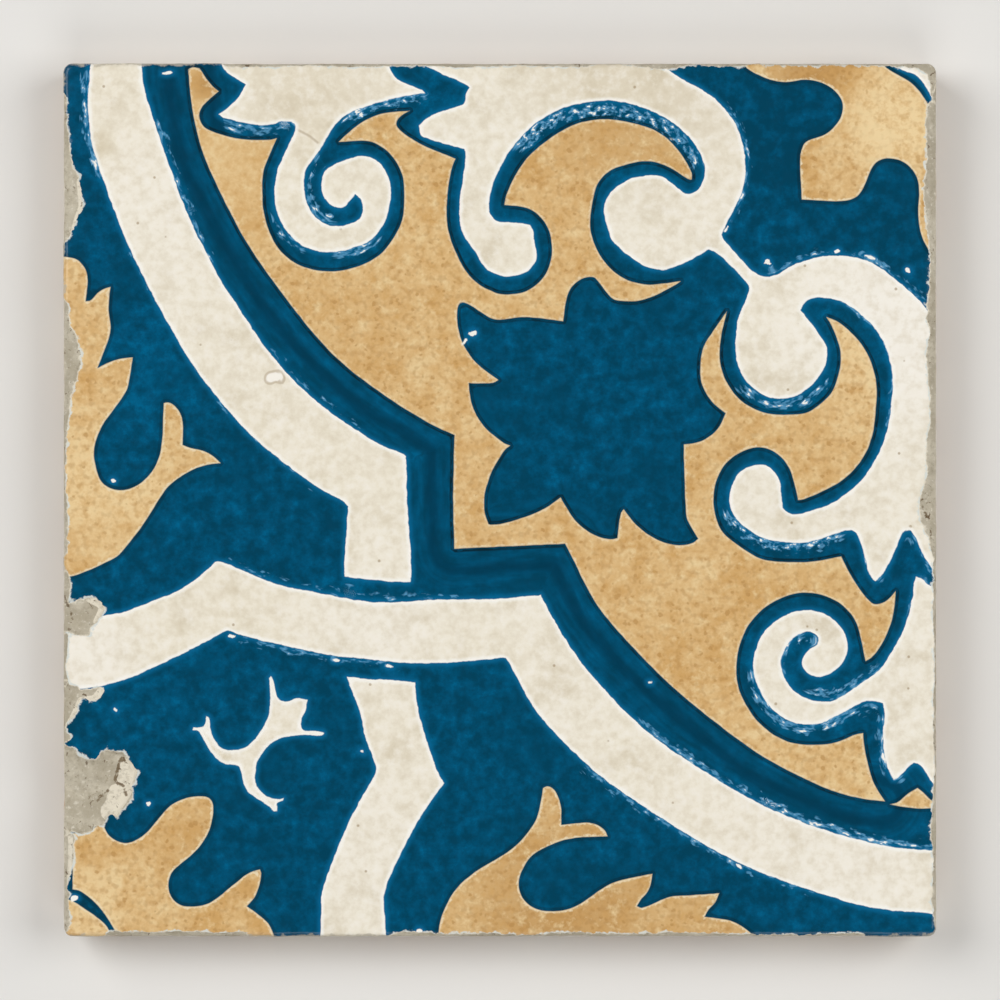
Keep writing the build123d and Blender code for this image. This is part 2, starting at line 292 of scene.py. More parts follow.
# Blue lines whose paint broke up into flecks in the firing: half width, strength and the line's points.
fleckedLines = [
    (1.3, 0.88, [(3.4, 56.4), (6, 59.4), (10, 61.6), (15, 62.4), (20, 62.2), (25, 60.4), (29, 57.6),
                 (31.6, 53.6)]),
    (0.9, 0.9, [(-43.6, 59.7), (-40.6, 59.2), (-36.4, 59.3), (-34.4, 59.9)]),
    (1.0, 0.9, [(-24.6, 61.2), (-20, 63.1), (-15, 64.2), (-12.4, 64.8)]),
    (0.9, 0.85, [(-30.2, 56.0), (-28.7, 53.9)]),
    (0.8, 0.8, [(-30.7, 52.0), (-30.6, 48.6), (-29.0, 45.6), (-26.4, 44.6)]),
    (0.8, 0.75, [(-36.2, 45.0), (-34.4, 42.2), (-31.5, 40.0)]),
    (0.8, 0.9, [(-26.4, 39.0), (-22.4, 40.0), (-19.5, 41.6)]),
    (0.6, 0.72, [(-54.6, 60.0), (-53.2, 56.2), (-51.8, 51.6), (-49.6, 46.2)]),
    (0.7, 1.0, [(-34.8, 60.7), (-32.8, 60.4)]),
    (0.6, 0.65, [(-49.6, 46.2), (-48.0, 42.6), (-45.6, 37.6)]),
    (0.6, 0.5, [(-36.6, 24.2), (-31.4, 18.6), (-26.6, 14.4), (-22.4, 11.6)]),
    (0.8, 0.9, [(-66.2, 68.0), (-66.5, 61.0), (-65.6, 56.6), (-64.0, 52.0)]),
    (0.6, 0.5, [(-24.0, -13.0), (-24.2, -17.2)]),
    (0.8, 0.9, [(38.6, 18.0), (41.4, 16.0), (45.4, 15.0), (49.6, 16.0), (52.4, 18.6)]),
    (0.8, 0.9, [(54.6, 32.6), (58.8, 29.6), (61.6, 26.2), (63.0, 22.0), (63.3, 16.6), (62.6, 10.0),
                (60.2, 5.4)]),
    (0.6, 0.75, [(43.0, 36.6), (46.4, 38.0), (51.0, 39.6), (56.6, 39.6), (61.0, 38.0), (64.6, 35.0),
                 (68.0, 31.6)]),
    (0.7, 0.7, [(36.2, 63.2), (38.8, 59.0), (39.7, 54.6), (38.6, 48.2), (36.6, 44.6)]),
    (0.96, 0.85, [(36.4, -2.4), (38.0, -4.4), (41.4, -6.6), (46.0, -7.6), (50.4, -7.2), (54.4, -5.7)]),
    (0.8, 0.85, [(57.8, -5.4), (59.4, -11.0), (61.0, -12.8)]),
    (0.7, 0.8, [(64.4, -6.0), (66.8, -6.4), (68.4, -10.2), (70.0, -11.8)]),
    (0.9, 0.9, [(40.3, -28.0), (41.4, -31.6), (43.6, -34.8), (47.6, -36.7), (51.6, -36.2),
                (56.0, -34.0), (60.0, -32.9)]),
    (0.8, 0.95, [(45.2, -28.0), (44.4, -25.6), (45.4, -23.2), (48.0, -21.6), (50.2, -22.6)]),
    (0.8, 0.9, [(49.4, -30.6), (54.0, -31.2), (57.2, -29.4), (61.0, -26.6)]),
    (0.7, 0.85, [(61.0, -35.0), (60.9, -39.4), (61.8, -43.4), (64.2, -44.6)]),
    (0.6, 0.5, [(65.6, -18.2), (66.3, -15.0), (67.4, -12.6), (69.6, -13.4)]),
    (0.7, 0.85, [(22.0, -35.0), (27.0, -38.9), (33.4, -43.2), (38.6, -46.4), (44.0, -49.2)]),
    (0.7, 0.95, [(42.0, -48.2), (49.0, -51.2), (56.0, -53.5), (62.0, -54.9), (68.0, -55.5), (70.0, -55.6)]),
    (0.6, 0.65, [(13.6, -43.0), (20.0, -47.6), (27.0, -52.2), (38.0, -58.5), (50.0, -63.0)]),
    (0.6, 0.65, [(-42.0, -22.0), (-35.0, -23.8), (-26.0, -25.6), (-16.0, -26.6)]),
    (0.6, 0.6, [(-60.0, 42.6), (-54.0, 31.0), (-44.0, 14.6), (-30.0, 2.2)]),
    (0.6, 0.6, [(-44.6, -9.2), (-36.0, -12.8), (-26.0, -15.0), (-14.0, -15.4), (-6.0, -15.2)]),
]

# In the chips: half width, strength and the line's points. Old glaze and pale clay still cling along
# some of them, others are brown cracks where the mortar has come away from the body.
paleLines = [
    (1.8, 1.0, [(-59.4, -42.8), (-59.9, -45.4), (-61.0, -47.8), (-62.4, -50.0)]),
    (1.4, 1.0, [(-61.6, -46.8), (-62.2, -50.2)]),
    (0.5, 0.9, [(-65.8, -15.8), (-63.4, -17.0), (-64.6, -19.6)]),
    (0.7, 0.9, [(-63.6, -30.4), (-64.8, -31.9), (-67.0, -32.2), (-68.2, -35.0), (-69.2, -36.4)]),
    (0.6, 0.8, [(-67.2, 51.0), (-66.9, 47.2), (-68.0, 43.6)]),
    (0.5, 0.7, [(-68.8, -54.0), (-69.0, -62.0)]),
]
crackLines = [
    (0.35, 1.0, [(-60.8, -41.6), (-61.2, -42.9), (-61.7, -44.9)]),
    (0.30, 0.9, [(-60.5, -41.2), (-59.9, -42.0)]),
    (0.35, 1.0, [(-61.3, -45.4), (-60.3, -45.8), (-59.9, -47.4)]),
    (0.40, 0.9, [(-62.9, -46.6), (-63.8, -47.4), (-64.6, -48.3)]),
    (0.30, 0.8, [(-66.0, -51.8), (-65.2, -52.8)]),
    (0.30, 0.9, [(-70.0, -15.4), (-69.0, -17.4), (-68.4, -19.2)]),
    (0.35, 0.8, [(67.4, 0.6), (67.7, -1.2), (68.4, -2.8)]),
    (0.30, 0.8, [(69.0, -4.4), (68.8, -8.6)]),
]

# Where the glaze has aged: x, y, reach and how much browner it is, or paler when less than 0.
agedPlaces = [
    (22, 66, 26, 0.45), (-30, 66, 18, 0.3), (10, -66, 24, 0.72), (38, -68, 14, 0.5), (50, 69, 10, 0.9),
    (63, 60, 14, -1.0), (66, 28, 26, -0.9), (52, -58, 30, -0.3), (-66, -66, 12, -0.6), (-62, 4, 18, -0.7),
    (-47, 66.5, 4, 1.0), (-20, 24, 20, 0.10), (-22, -20, 18, -0.3), (-66, -25, 12, -0.6),
    (20, -16, 22, 0.05), (-64.5, 56.8, 4, 0.7), (-47, -56, 10, 0.25), (-58, 44, 26, -0.35),
    (-22, -55, 22, -0.3),
]

# Where the ochre is smooth, with few iron specks: x, y, reach and amount.
smoothPlaces = [
    (-44, 52, 18, 0.9), (-48, 66, 8, 0.8), (62, 60, 12, 0.7), (46, 22, 12, 0.5), (-60, -8, 14, 0.4),
    (20, 58, 12, 0.4),
]

# Where the blue lies deeper, or thinner when less than 0: x, y, reach and amount.
deepPlaces = [
    (-58, 20, 16, -0.7), (-58, 48, 12, -0.2), (43, 58, 18, 0.55), (62, 42, 14, 0.3), (0, 2, 10, 0.3),
    (22, -2, 12, 0.35), (-54, -31, 14, -0.25), (-32, -50, 16, 0.1), (-22, -24, 10, 0.3),
    (34, -58, 16, 0.25), (62, -68, 14, -0.3), (-40, 66, 8, 0.2), (-8, 64, 8, -0.3), (26, 56, 14, -0.4),
    (48, 14, 12, -0.3), (50, -34, 12, -0.3),
]

# Places where the face is broken or worn down to the clay. The outline runs out past the tile's edge,
# step is the glaze's thickness at the break, and depth is how far the break goes down over its reach.
faceBreaks = {
    "upperChip": {"step": 0.25, "depth": 1.2, "reach": 5.5, "rough": 0.30, "points": [
        (-74, -15.2), (-69.2, -16.4), (-67.6, -15.9), (-65.9, -15.7), (-64.2, -16), (-63.3, -17.3),
        (-64.2, -19.2), (-65.3, -20.4), (-65.9, -21.7), (-67.8, -21.5), (-69.6, -21.1), (-74, -22.5)]},
    "middleChip": {"step": 0.12, "depth": 0.7, "reach": 4.0, "rough": 0.20, "points": [
        (-74, -28.6), (-69.8, -28.9), (-66.9, -30.3), (-64.2, -29.8), (-63.3, -30.5), (-64.8, -32.1),
        (-66.9, -31.8), (-67.7, -33.4), (-68.2, -34.8), (-69.2, -35.5), (-69.4, -37), (-69, -38.6),
        (-74, -40)]},
    "lowerChip": {"step": 0.35, "depth": 2.1, "reach": 8.0, "rough": 0.42, "points": [
        (-74, -39), (-68.6, -39.5), (-67.4, -40.8), (-65.8, -41.6), (-64.5, -41.3), (-63.7, -40.3),
        (-62, -40.1), (-60.1, -40.6), (-59.2, -41.8), (-58.3, -43.1), (-58.2, -44.2), (-58.9, -45.9),
        (-59, -47.8), (-60.1, -49), (-61.2, -50.6), (-62.6, -50.5), (-63.4, -51.8), (-64.8, -52.4),
        (-66, -53.3), (-68.3, -53.2), (-74, -53.6)]},
    "lowRim": {"step": 0.10, "depth": 0.5, "reach": 1.6, "rough": 0.12, "points": [
        (-74, -53.4), (-68.6, -53.2), (-68.2, -55.6), (-68.5, -58.4), (-69.1, -60.4), (-69.2, -62.6),
        (-68.9, -66), (-69.4, -69), (-74, -70.4)]},
    "highWear": {"step": 0.08, "depth": 0.45, "reach": 2.6, "rough": 0.10, "points": [
        (-74, 66), (-69.7, 65), (-69.4, 61), (-69.0, 57.6), (-68.6, 54.2), (-67.4, 51.4), (-66.9, 49.4),
        (-66.8, 47), (-67.7, 44.8), (-68.5, 42.8), (-70.0, 41.2), (-74, 40.4)]},
    "leafWear": {"step": 0.10, "depth": 0.7, "reach": 2.6, "rough": 0.18, "points": [
        (-74, 33.6), (-69.6, 32), (-68.8, 28.6), (-67.8, 26.2), (-67.2, 23.6), (-67.3, 20.8), (-68.4, 17.2),
        (-69.0, 13.6), (-69.5, 9), (-69.6, 3), (-69.3, -3), (-69.6, -8.6), (-74, -9.4)]},
    "strapWear": {"step": 0.10, "depth": 0.5, "reach": 1.6, "rough": 0.12, "points": [
        (-74, -10.4), (-69.6, -11.2), (-68.7, -13.2), (-68.9, -15.2), (-69.5, -16.8), (-74, -17)]},
    "strapEnd": {"step": 0.10, "depth": 0.4, "reach": 1.2, "rough": 0.10, "points": [
        (-74, -21.6), (-69.6, -21.3), (-69.3, -24), (-69.7, -26.6), (-69.4, -29.4), (-74, -30)]},
    "rightWear": {"step": 0.10, "depth": 0.55, "reach": 2.0, "rough": 0.16, "points": [
        (74, 65), (68.9, 63.8), (68.1, 60), (68.3, 55), (67.8, 50.4), (68.1, 45), (68.7, 39), (68.7, 34),
        (68.3, 30), (68.7, 26.4), (68.2, 23), (68.6, 18), (68.8, 13), (68.2, 8), (68.3, 4), (67.3, 1),
        (67.1, -2.2), (67.9, -5), (69.0, -7.6), (69.5, -12), (69.3, -18), (69.7, -26), (69.4, -34),
        (69.6, -44), (69.2, -50), (68.9, -53), (69.4, -57), (69.5, -66), (74, -68)]},
    "topWear": {"step": 0.10, "depth": 0.5, "reach": 1.8, "rough": 0.16, "points": [
        (17, 74), (19, 70.2), (22, 69.6), (25.6, 68.9), (28, 69.1), (31, 69.8), (35, 69.4), (38.4, 69.5),
        (42, 69.9), (48, 69.6), (55, 69.8), (61, 69.5), (65, 69.4), (67.6, 68.6), (68.8, 66.8), (69.4, 64),
        (74, 63), (74, 74)]},
    "topLeftWear": {"step": 0.08, "depth": 0.35, "reach": 1.0, "rough": 0.08, "points": [
        (-46, 74), (-44, 69.7), (-38, 69.4), (-31, 69.6), (-24, 69.3), (-15, 69.6), (-6, 69.3), (2, 69.6),
        (9, 69.4), (15, 69.8), (18, 74)]},
    "bottomWear": {"step": 0.10, "depth": 0.5, "reach": 1.6, "rough": 0.14, "points": [
        (-66, -74), (-63, -69.5), (-60, -69.1), (-55, -69.2), (-50, -69), (-45, -69.3), (-41, -69.2),
        (-40.2, -70.2), (-39, -74)]},
    "bottomEdge": {"step": 0.08, "depth": 0.35, "reach": 1.0, "rough": 0.08, "points": [
        (-19, -74), (-17, -69.6), (-13, -69.2), (-8, -69.5), (-2, -69.3), (5, -69.6), (12, -69.2),
        (20, -69.5), (28, -69.2), (37, -69.5), (44, -69.7), (52, -69.6), (58, -69.8), (60, -74)]},
}

# How a curve is eased where its points lie far apart: not at the short span, fully at the long one, in mm.
easing = {"passes": 12, "shortSpan": 1.2, "longSpan": 3.2}


def alongCurve(points, step, closed=True, passes=0):
    # a Catmull-Rom curve through the points, broken at the corners and eased on its long spans
    curve, ease = [], []
    count = len(points)
    for i in range(count if closed else count - 1):
        a, b = np.array(points[i][:2]), np.array(points[(i + 1) % count][:2])
        before = 2 * a - b if len(points[i]) > 2 else np.array(points[i - 1][:2])
        after = 2 * b - a if len(points[(i + 1) % count]) > 2 else np.array(points[(i + 2) % count][:2])
        length = float(np.linalg.norm(b - a))
        pieces = max(1, round(length / step))
        eased = smoothStep(length, easing["shortSpan"], easing["longSpan"])
        for t in np.arange(pieces) / pieces:
            ease.append(0.0 if t == 0 and len(points[i]) > 2 else eased)
            curve.append(0.5 * (2 * a + (b - before) * t + (2 * before - 5 * a + 4 * b - after) * t ** 2
                                + (3 * a - before - 3 * b + after) * t ** 3))
    curve = np.array(curve)
    if not closed:
        return curve
    for again in range(passes):
        between = (np.roll(curve, 1, axis=0) + np.roll(curve, -1, axis=0)) / 2
        curve += (between - curve) * 0.5 * np.array(ease)[:, None]
    x, y = curve.T
    turn = np.sum(x * np.roll(y, -1) - np.roll(x, -1) * y)
    return curve if turn > 0 else curve[::-1]


def shaken(curve, amount, grain):
    # moves each point across the curve by noise: an edge made by hand or by a break
    ahead = np.roll(curve, -1, axis=0) - np.roll(curve, 1, axis=0)
    across = np.stack([ahead[:, 1], -ahead[:, 0]], axis=1)
    across /= np.maximum(np.linalg.norm(across, axis=1, keepdims=True), 1e-9)
    wander = [noise.fractal(Vector((x / grain, y / grain, grain)), 0.8, 2.0, 3) for x, y in curve]
    return curve + across * amount * np.array(wander)[:, None]


spotEdge = {"points": 14, "amount": 0.35, "grain": 0.45}      # the amount is a share of the spot's width


def spotOutline(x, y, length, width, turn):
    # a turned ellipse with a ragged edge
    angles = np.linspace(0, 2 * math.pi, spotEdge["points"], endpoint=False)
    c, s = math.cos(math.radians(turn)), math.sin(math.radians(turn))
    u, v = length / 2 * np.cos(angles), width / 2 * np.sin(angles)
    ring = np.stack([x + u * c - v * s, y + u * s + v * c], axis=1)
    return shaken(ring, spotEdge["amount"] * width, spotEdge["grain"])


def squareRing(inset, step):
    # the tile's plan, drawn in by inset, anticlockwise
    half, radius = halfWidth - inset, max(tileForm["cornerRadius"] - inset, tileForm["leastRadius"])
    straight = half - radius
    ring = []
    for quarter in range(4):
        c, s = [(1, 0), (0, 1), (-1, 0), (0, -1)][quarter]
        side = [(half, t) for t in np.linspace(-straight, straight, round(2 * straight / step))]
        bend = [(straight + radius * math.cos(a), straight + radius * math.sin(a))
                for a in np.linspace(0, math.pi / 2, tileForm["bendPoints"])[1:-1]]
        ring += [(x * c - y * s, x * s + y * c) for x, y in side + bend]
    return np.array(ring)


def roundedSquare(p, half, radius):
    # signed distance of points to a rounded square about the origin, less than 0 inside
    q = np.abs(p) - (half - radius)
    return np.linalg.norm(np.maximum(q, 0), axis=1) + np.minimum(np.max(q, axis=1), 0) - radius


sampleStep = 0.1                           # along a curve, when distances to it are asked for


def awayFrom(curves, closed=True):
    # a search tree over closely spaced points of some curves
    samples = []
    for curve in curves:
        ends = np.roll(curve, -1, axis=0) if closed else curve[1:]
        for a, b in zip(curve, ends):
            pieces = max(1, int(np.linalg.norm(b - a) / sampleStep))
            samples += [a + (b - a) * t for t in np.arange(pieces) / pieces]
    tree = kdtree.KDTree(len(samples))
    for i, p in enumerate(samples):
        tree.insert((p[0], p[1], 0), i)
    tree.balance()
    return tree


def distances(tree, p):
    # from each point to the curves of a search tree
    return np.array([tree.find((x, y, 0))[2] for x, y in p])


looseGrid = {"rowSpacing": 0.87, "jitter": 0.22, "clearance": 0.42}      # as shares of the spacing


def loosePoints(spacing, half, seed, keepClear):
    # a jittered grid, without the points that would crowd a curve
    rng = np.random.default_rng(seed)
    rows = np.arange(-half, half, spacing * looseGrid["rowSpacing"])
    grid = np.array([(x + (i % 2) * spacing / 2, y) for i, y in enumerate(rows)
                     for x in np.arange(-half, half, spacing)])
    grid += rng.uniform(-looseGrid["jitter"], looseGrid["jitter"], grid.shape) * spacing
    return grid[distances(keepClear, grid) > spacing * looseGrid["clearance"]]


def triangles(polygons, rings, loose):
    # a triangulation with every curve as edges, which also tells what each point came from and
    # which polygons each triangle lies in
    points, faces, edges = [], [], []
    for curve in polygons:
        faces.append(list(range(len(points), len(points) + len(curve))))
        points += [Vector(p) for p in curve]
    for curve in rings:
        start, count = len(points), len(curve)
        edges += [(start + i, start + (i + 1) % count) for i in range(count)]
        points += [Vector(p) for p in curve]
    points += [Vector(p) for p in loose]
    flat, _, made, origins, _, inside = delaunay_2d_cdt(points, edges, faces, 0, 1e-4)
    return np.array([(p.x, p.y) for p in flat]), made, origins, [set(s) for s in inside]


def smoothStep(value, start, end):
    # rises softly from 0 at the start to 1 at the end
    t = np.clip((value - start) / (end - start), 0, 1)
    return t * t * (3 - 2 * t)


def noiseAt(p, size, seed):
    # smooth noise between about -1 and 1 whose lumps are of this size in mm
    return np.array([noise.noise(Vector((x / size, y / size, seed))) for x, y in p])


print("curves of the painting")
paintEdge = {"amount": 0.10, "grain": 1.3}          # a stencil's edge, softened in the glaze
ochreEdge = {"amount": 0.05, "grain": 2.0}
breakEdge = {"amount": 0.30, "grain": 1.1}
step = tileForm["paintStep"]
passes = easing["passes"]
ochreCurves = [shaken(alongCurve(p, step, passes=passes), **ochreEdge) for p in ochrePaint.values()]
whiteCurves = [shaken(alongCurve(p, step, passes=passes), **paintEdge) for p in whiteReserve.values()]
whiteCurves += [spotOutline(*spot) for spot in paleSpots]
scarCurves = [alongCurve(glazeScar, step)]
breakCurves = [shaken(alongCurve(b["points"], tileForm["breakStep"]), **breakEdge)
               for b in faceBreaks.values()]
leafField = ochrePaint["leafField"]
borderEnd = leafField.index((61.6, -48.2, 1))       # the leaf field starts along the broad blue border
borderCurve = alongCurve(leafField[:borderEnd + 1], step, closed=False)

print("the glazed face")
rolled = tileForm["rolledEdge"]
rollAngles = np.radians([76, 62, 48, 34, 18, 0])
rings = [squareRing(rolled * (1 - math.sin(a)), tileForm["ringStep"]) for a in rollAngles]
tileRing = squareRing(0, tileForm["ringStep"])
curves = [tileRing] + ochreCurves + whiteCurves + scarCurves + breakCurves
allCurves = awayFrom(curves + rings)
breakTree = awayFrom(breakCurves)
loose = loosePoints(tileForm["faceGrid"], halfWidth, seed=3, keepClear=allCurves)
fine = loosePoints(tileForm["chipGrid"], halfWidth, seed=4, keepClear=allCurves)


def insideCurve(p, curve):
    # even-odd test of many points against one closed curve
    inside = np.zeros(len(p), bool)
    for (x0, y0), (x1, y1) in zip(curve, np.roll(curve, -1, axis=0)):
        crosses = (y0 > p[:, 1]) != (y1 > p[:, 1])
        at = x0 + (p[:, 1] - y0) * (x1 - x0) / (y1 - y0 if y1 != y0 else 1e-9)
        inside ^= crosses & (p[:, 0] < at)
    return inside


inBreak = np.any([insideCurve(fine, c) for c in breakCurves], axis=0)
looseInBreak = np.any([insideCurve(loose, c) for c in breakCurves], axis=0)
loose = np.concatenate([loose[~looseInBreak], fine[inBreak]])
plan, faceTriangles, _, inside = triangles(curves, rings, loose)


touching, thinnest = 0.01, 0.09            # a point on a curve, and the least gap that gets a point


def pointsAcross(p, made):
    # the middles of mesh edges that join two sides of a thin shape, so that its inside has points too
    onCurve = distances(paintTree, p) < touching
    spans = {tuple(sorted((t[i], t[(i + 1) % 3]))) for t in made for i in range(3)}
    spans = np.array([e for e in spans if onCurve[e[0]] and onCurve[e[1]]])
    middles = (p[spans[:, 0]] + p[spans[:, 1]]) / 2
    return middles[distances(paintTree, middles) > thinnest]


paintTree = awayFrom(ochreCurves + whiteCurves + scarCurves + breakCurves)
for again in range(2):
    loose = np.concatenate([loose, pointsAcross(plan, faceTriangles)])
    plan, faceTriangles, _, inside = triangles(curves, rings, loose)

# which polygon is which: the tile first, then ochre, white, the scar and the breaks
firstWhite = 1 + len(ochreCurves)
firstScar = firstWhite + len(whiteCurves)
firstBreak = firstScar + len(scarCurves)
ochreIds, whiteIds = set(range(1, firstWhite)), set(range(firstWhite, firstScar))
scarIds = set(range(firstScar, firstBreak))
kept = [i for i, s in enumerate(inside) if 0 in s]
faceTriangles = [tuple(faceTriangles[i]) for i in kept]
inside = [inside[i] for i in kept]

used = sorted({v for t in faceTriangles for v in t})
renumber = {v: i for i, v in enumerate(used)}
plan = plan[used]
faceTriangles = [tuple(renumber[v] for v in t) for t in faceTriangles]
count = len(plan)
sign = {"white": -np.ones(count), "ochre": -np.ones(count), "scar": -np.ones(count)}
breakOf = -np.ones(count, int)
edgeOfBreak = distances(breakTree, plan) < touching
for t, s in zip(faceTriangles, inside):
    for v in t:
        if s & whiteIds:
            sign["white"][v] = 1
        if s & ochreIds:
            sign["ochre"][v] = 1
        if s & scarIds:
            sign["scar"][v] = 1
        if max(s) >= firstBreak and not edgeOfBreak[v]:
            breakOf[v] = max(s) - firstBreak

toWhite = distances(awayFrom(whiteCurves), plan) * sign["white"]
toOchre = distances(awayFrom(ochreCurves), plan) * sign["ochre"]
toCloud = distances(awayFrom(ochreCurves[1:]), plan) * sign["ochre"]
toScar = distances(awayFrom(scarCurves), plan) * sign["scar"]
borderTree = awayFrom([borderCurve], closed=False)
alongBorder, toBorder = np.array([borderTree.find((x, y, 0))[1:] for x, y in plan]).T
alongBorder *= sampleStep
toBreak = distances(breakTree, plan)
toEdge = -roundedSquare(plan, halfWidth, tileForm["cornerRadius"])

marking = {
    "lineCore": 0.4, "placeCore": 0.15,    # the share of a reach that has the full strength
    "lineApart": 40,                       # mm of noise between one line's flecks and the next one's
    "broadLine": 0.95, "shortened": 1.6,   # from this half width on the flecks are this many times shorter
}


def nearLines(lines, softness):
    # how strongly each point lies on a set of lines, and how far along the nearest one it is
    amount, along = np.zeros(count), np.zeros(count)
    closest = np.full(count, 99.0)
    for number, (reach, strength, line) in enumerate(lines):
        tree = awayFrom([np.array(line)], closed=False)
        index, away = np.array([tree.find((x, y, 0))[1:] for x, y in plan]).T
        core = reach * marking["lineCore"]
        amount = np.maximum(amount, strength * smoothStep(away, reach + softness, core))
        drawnOut = 1 if reach < marking["broadLine"] else marking["shortened"]
        place = index * sampleStep * drawnOut + marking["lineApart"] * number
        along = np.where(away < closest, place, along)
        closest = np.minimum(closest, away)
    return amount, along


fleck, alongFleck = nearLines(fleckedLines, 0.5)
fringe, _ = nearLines(paleLines, 0.4)
crack, _ = nearLines(crackLines, 0.3)


def sumOfPlaces(places):
    # adds up places that each fade out towards their reach
    total = np.zeros(count)
    for x, y, reach, amount in places:
        away = np.linalg.norm(plan - [x, y], axis=1)
        total += amount * smoothStep(away, reach, reach * marking["placeCore"])
    return total


tone = sumOfPlaces(agedPlaces)
depth = sumOfPlaces(deepPlaces)
evenness = np.clip(sumOfPlaces(smoothPlaces), 0, 1)

# How worn and broken places look: sizes of their lumps, and how far the arris is knocked back.
wornForm = {
    "crumbSize": 2.2, "gritSize": 0.7, "crumbRise": 0.8, "rollLeft": 0.25,
    "arrisBack": 0.10, "arrisWear": 0.10, "arrisWearSize": 5.0, "arrisNicks": 0.07, "arrisNickSize": 1.3,
    "arrisReach": 1.6, "moreWhereBroken": 0.10, "mostBack": 0.5, "sideRough": 0.06, "sideLumpSize": 2.0,
}

# heights: the rolled edge, a gentle sag, then the breaks
inRoll = np.clip(rolled - toEdge, 0, rolled)
height = thickness - rolled + np.sqrt(np.maximum(rolled ** 2 - inRoll ** 2, 0))
sag = 0.5 + 0.35 * noiseAt(plan, tileForm["sagSize"], 2.1) + 0.15 * noiseAt(plan, tileForm["waveSize"], 5.7)
height -= tileForm["sagging"] * np.clip(sag, 0, 1)
for number, wornPlace in enumerate(faceBreaks.values()):
    here = breakOf == number
    further = wornPlace["depth"] - wornPlace["step"]
    down = wornPlace["step"] + further * smoothStep(toBreak[here], 0, wornPlace["reach"])
    crumble = 0.5 + 0.6 * noiseAt(plan[here], wornForm["crumbSize"], number)
    crumble += 0.4 * noiseAt(plan[here], wornForm["gritSize"], number + 20)
    crumble = np.clip(crumble, 0, 1.2) * smoothStep(toBreak[here], 0, wornForm["crumbRise"])
    top = thickness - (down + wornPlace["rough"] * crumble)
    height[here] = np.minimum(height[here], top - inRoll[here] * wornForm["rollLeft"])

# the arris is knocked back a little all round, and more where the face is broken
knock = wornForm["arrisBack"] + wornForm["arrisWear"] * noiseAt(plan, wornForm["arrisWearSize"], 8.8)
knock += wornForm["arrisNicks"] * noiseAt(plan, wornForm["arrisNickSize"], 9.9)
knock = np.where(breakOf >= 0, knock + wornForm["moreWhereBroken"], knock)
knock = np.clip(knock, 0, wornForm["mostBack"]) * smoothStep(toEdge, wornForm["arrisReach"], 0)
straight = halfWidth - tileForm["cornerRadius"]


def outward(p):
    # which way is out of the tile, for points near its edge
    away = p - np.clip(p, -straight, straight)
    return away / np.maximum(np.linalg.norm(away, axis=1, keepdims=True), 1e-9)


faceAt = np.column_stack([plan - outward(plan) * knock[:, None], height])

print("the sides")
following = {}
edges = {(t[i], t[(i + 1) % 3]) for t in faceTriangles for i in range(3)}
for a, b in edges:
    if (b, a) not in edges:
        following[a] = b
start = min(following)
loop = [start]
while following[loop[-1]] != start:
    loop.append(following[loop[-1]])
loop = np.array(loop)
loopPlan, loopTop = plan[loop], height[loop]
loopOut = outward(loopPlan)
landBottom = thickness - tileForm["land"]
draft = math.tan(math.radians(tileForm["draftAngle"]))
levels = [0.3, 1.1, 2.3, 3.6, 5.0, 6.4, 7.6, 9.4]         # rows of points, in mm below the face's edge
sideRows = []
for i, down in enumerate(levels):
    share = down / levels[-1]
    z = loopTop + (tileForm["backChamfer"] - loopTop) * share
    inset = draft * np.maximum(landBottom - z, 0)
    alongSide = np.column_stack([loopPlan[:, 0] + loopPlan[:, 1], z])
    rough = 0.05 + wornForm["sideRough"] * noiseAt(alongSide, wornForm["sideLumpSize"], 4.2)
    inset += np.clip(rough, 0, 0.2) if i < len(levels) - 1 else 0
    inset = np.maximum(inset, knock[loop] * smoothStep(down, wornForm["arrisReach"], 0))
    sideRows.append(np.column_stack([loopPlan - loopOut * inset[:, None], z]))
bottomPlan = loopPlan - loopOut * (draft * landBottom + tileForm["backChamfer"])

print("the keyed back")
cells = tileForm["cellsEachWay"]
span = 2 * (halfWidth - tileForm["backRim"])
cellWidth = (span - (cells - 1) * tileForm["ribWidth"]) / cells
pitch = cellWidth + tileForm["ribWidth"]
wall = tileForm["cellDepth"] * math.tan(math.radians(tileForm["cellDraft"]))
arris, cellFoot, cellStep = 0.22, 0.04, 1.5               # the cells' worn edge, the foot of their walls
backRise = {"rim": 0.10, "least": 0.02, "most": 0.1}      # the pressed back isn't quite flat either
cellCentres = [((i - (cells - 1) / 2) * pitch, (j - (cells - 1) / 2) * pitch)
               for i in range(cells) for j in range(cells)]


def cellOutline(centre, grow, step):
    # a cell's rounded outline on the back, made larger by grow
    half, radius = cellWidth / 2 + grow, tileForm["cellCorner"] + grow
    ring = []
    for quarter in range(4):
        c, s = [(1, 0), (0, 1), (-1, 0), (0, -1)][quarter]
        side = [(half, t) for t in np.linspace(-half + radius, half - radius,
                                               round(2 * (half - radius) / step))]
        bend = [(half - radius + radius * math.cos(a), half - radius + radius * math.sin(a))
                for a in np.linspace(0, math.pi / 2, tileForm["cellBendPoints"])[1:-1]]
        ring += [(centre[0] + x * c - y * s, centre[1] + x * s + y * c) for x, y in side + bend]
    return np.array(ring)


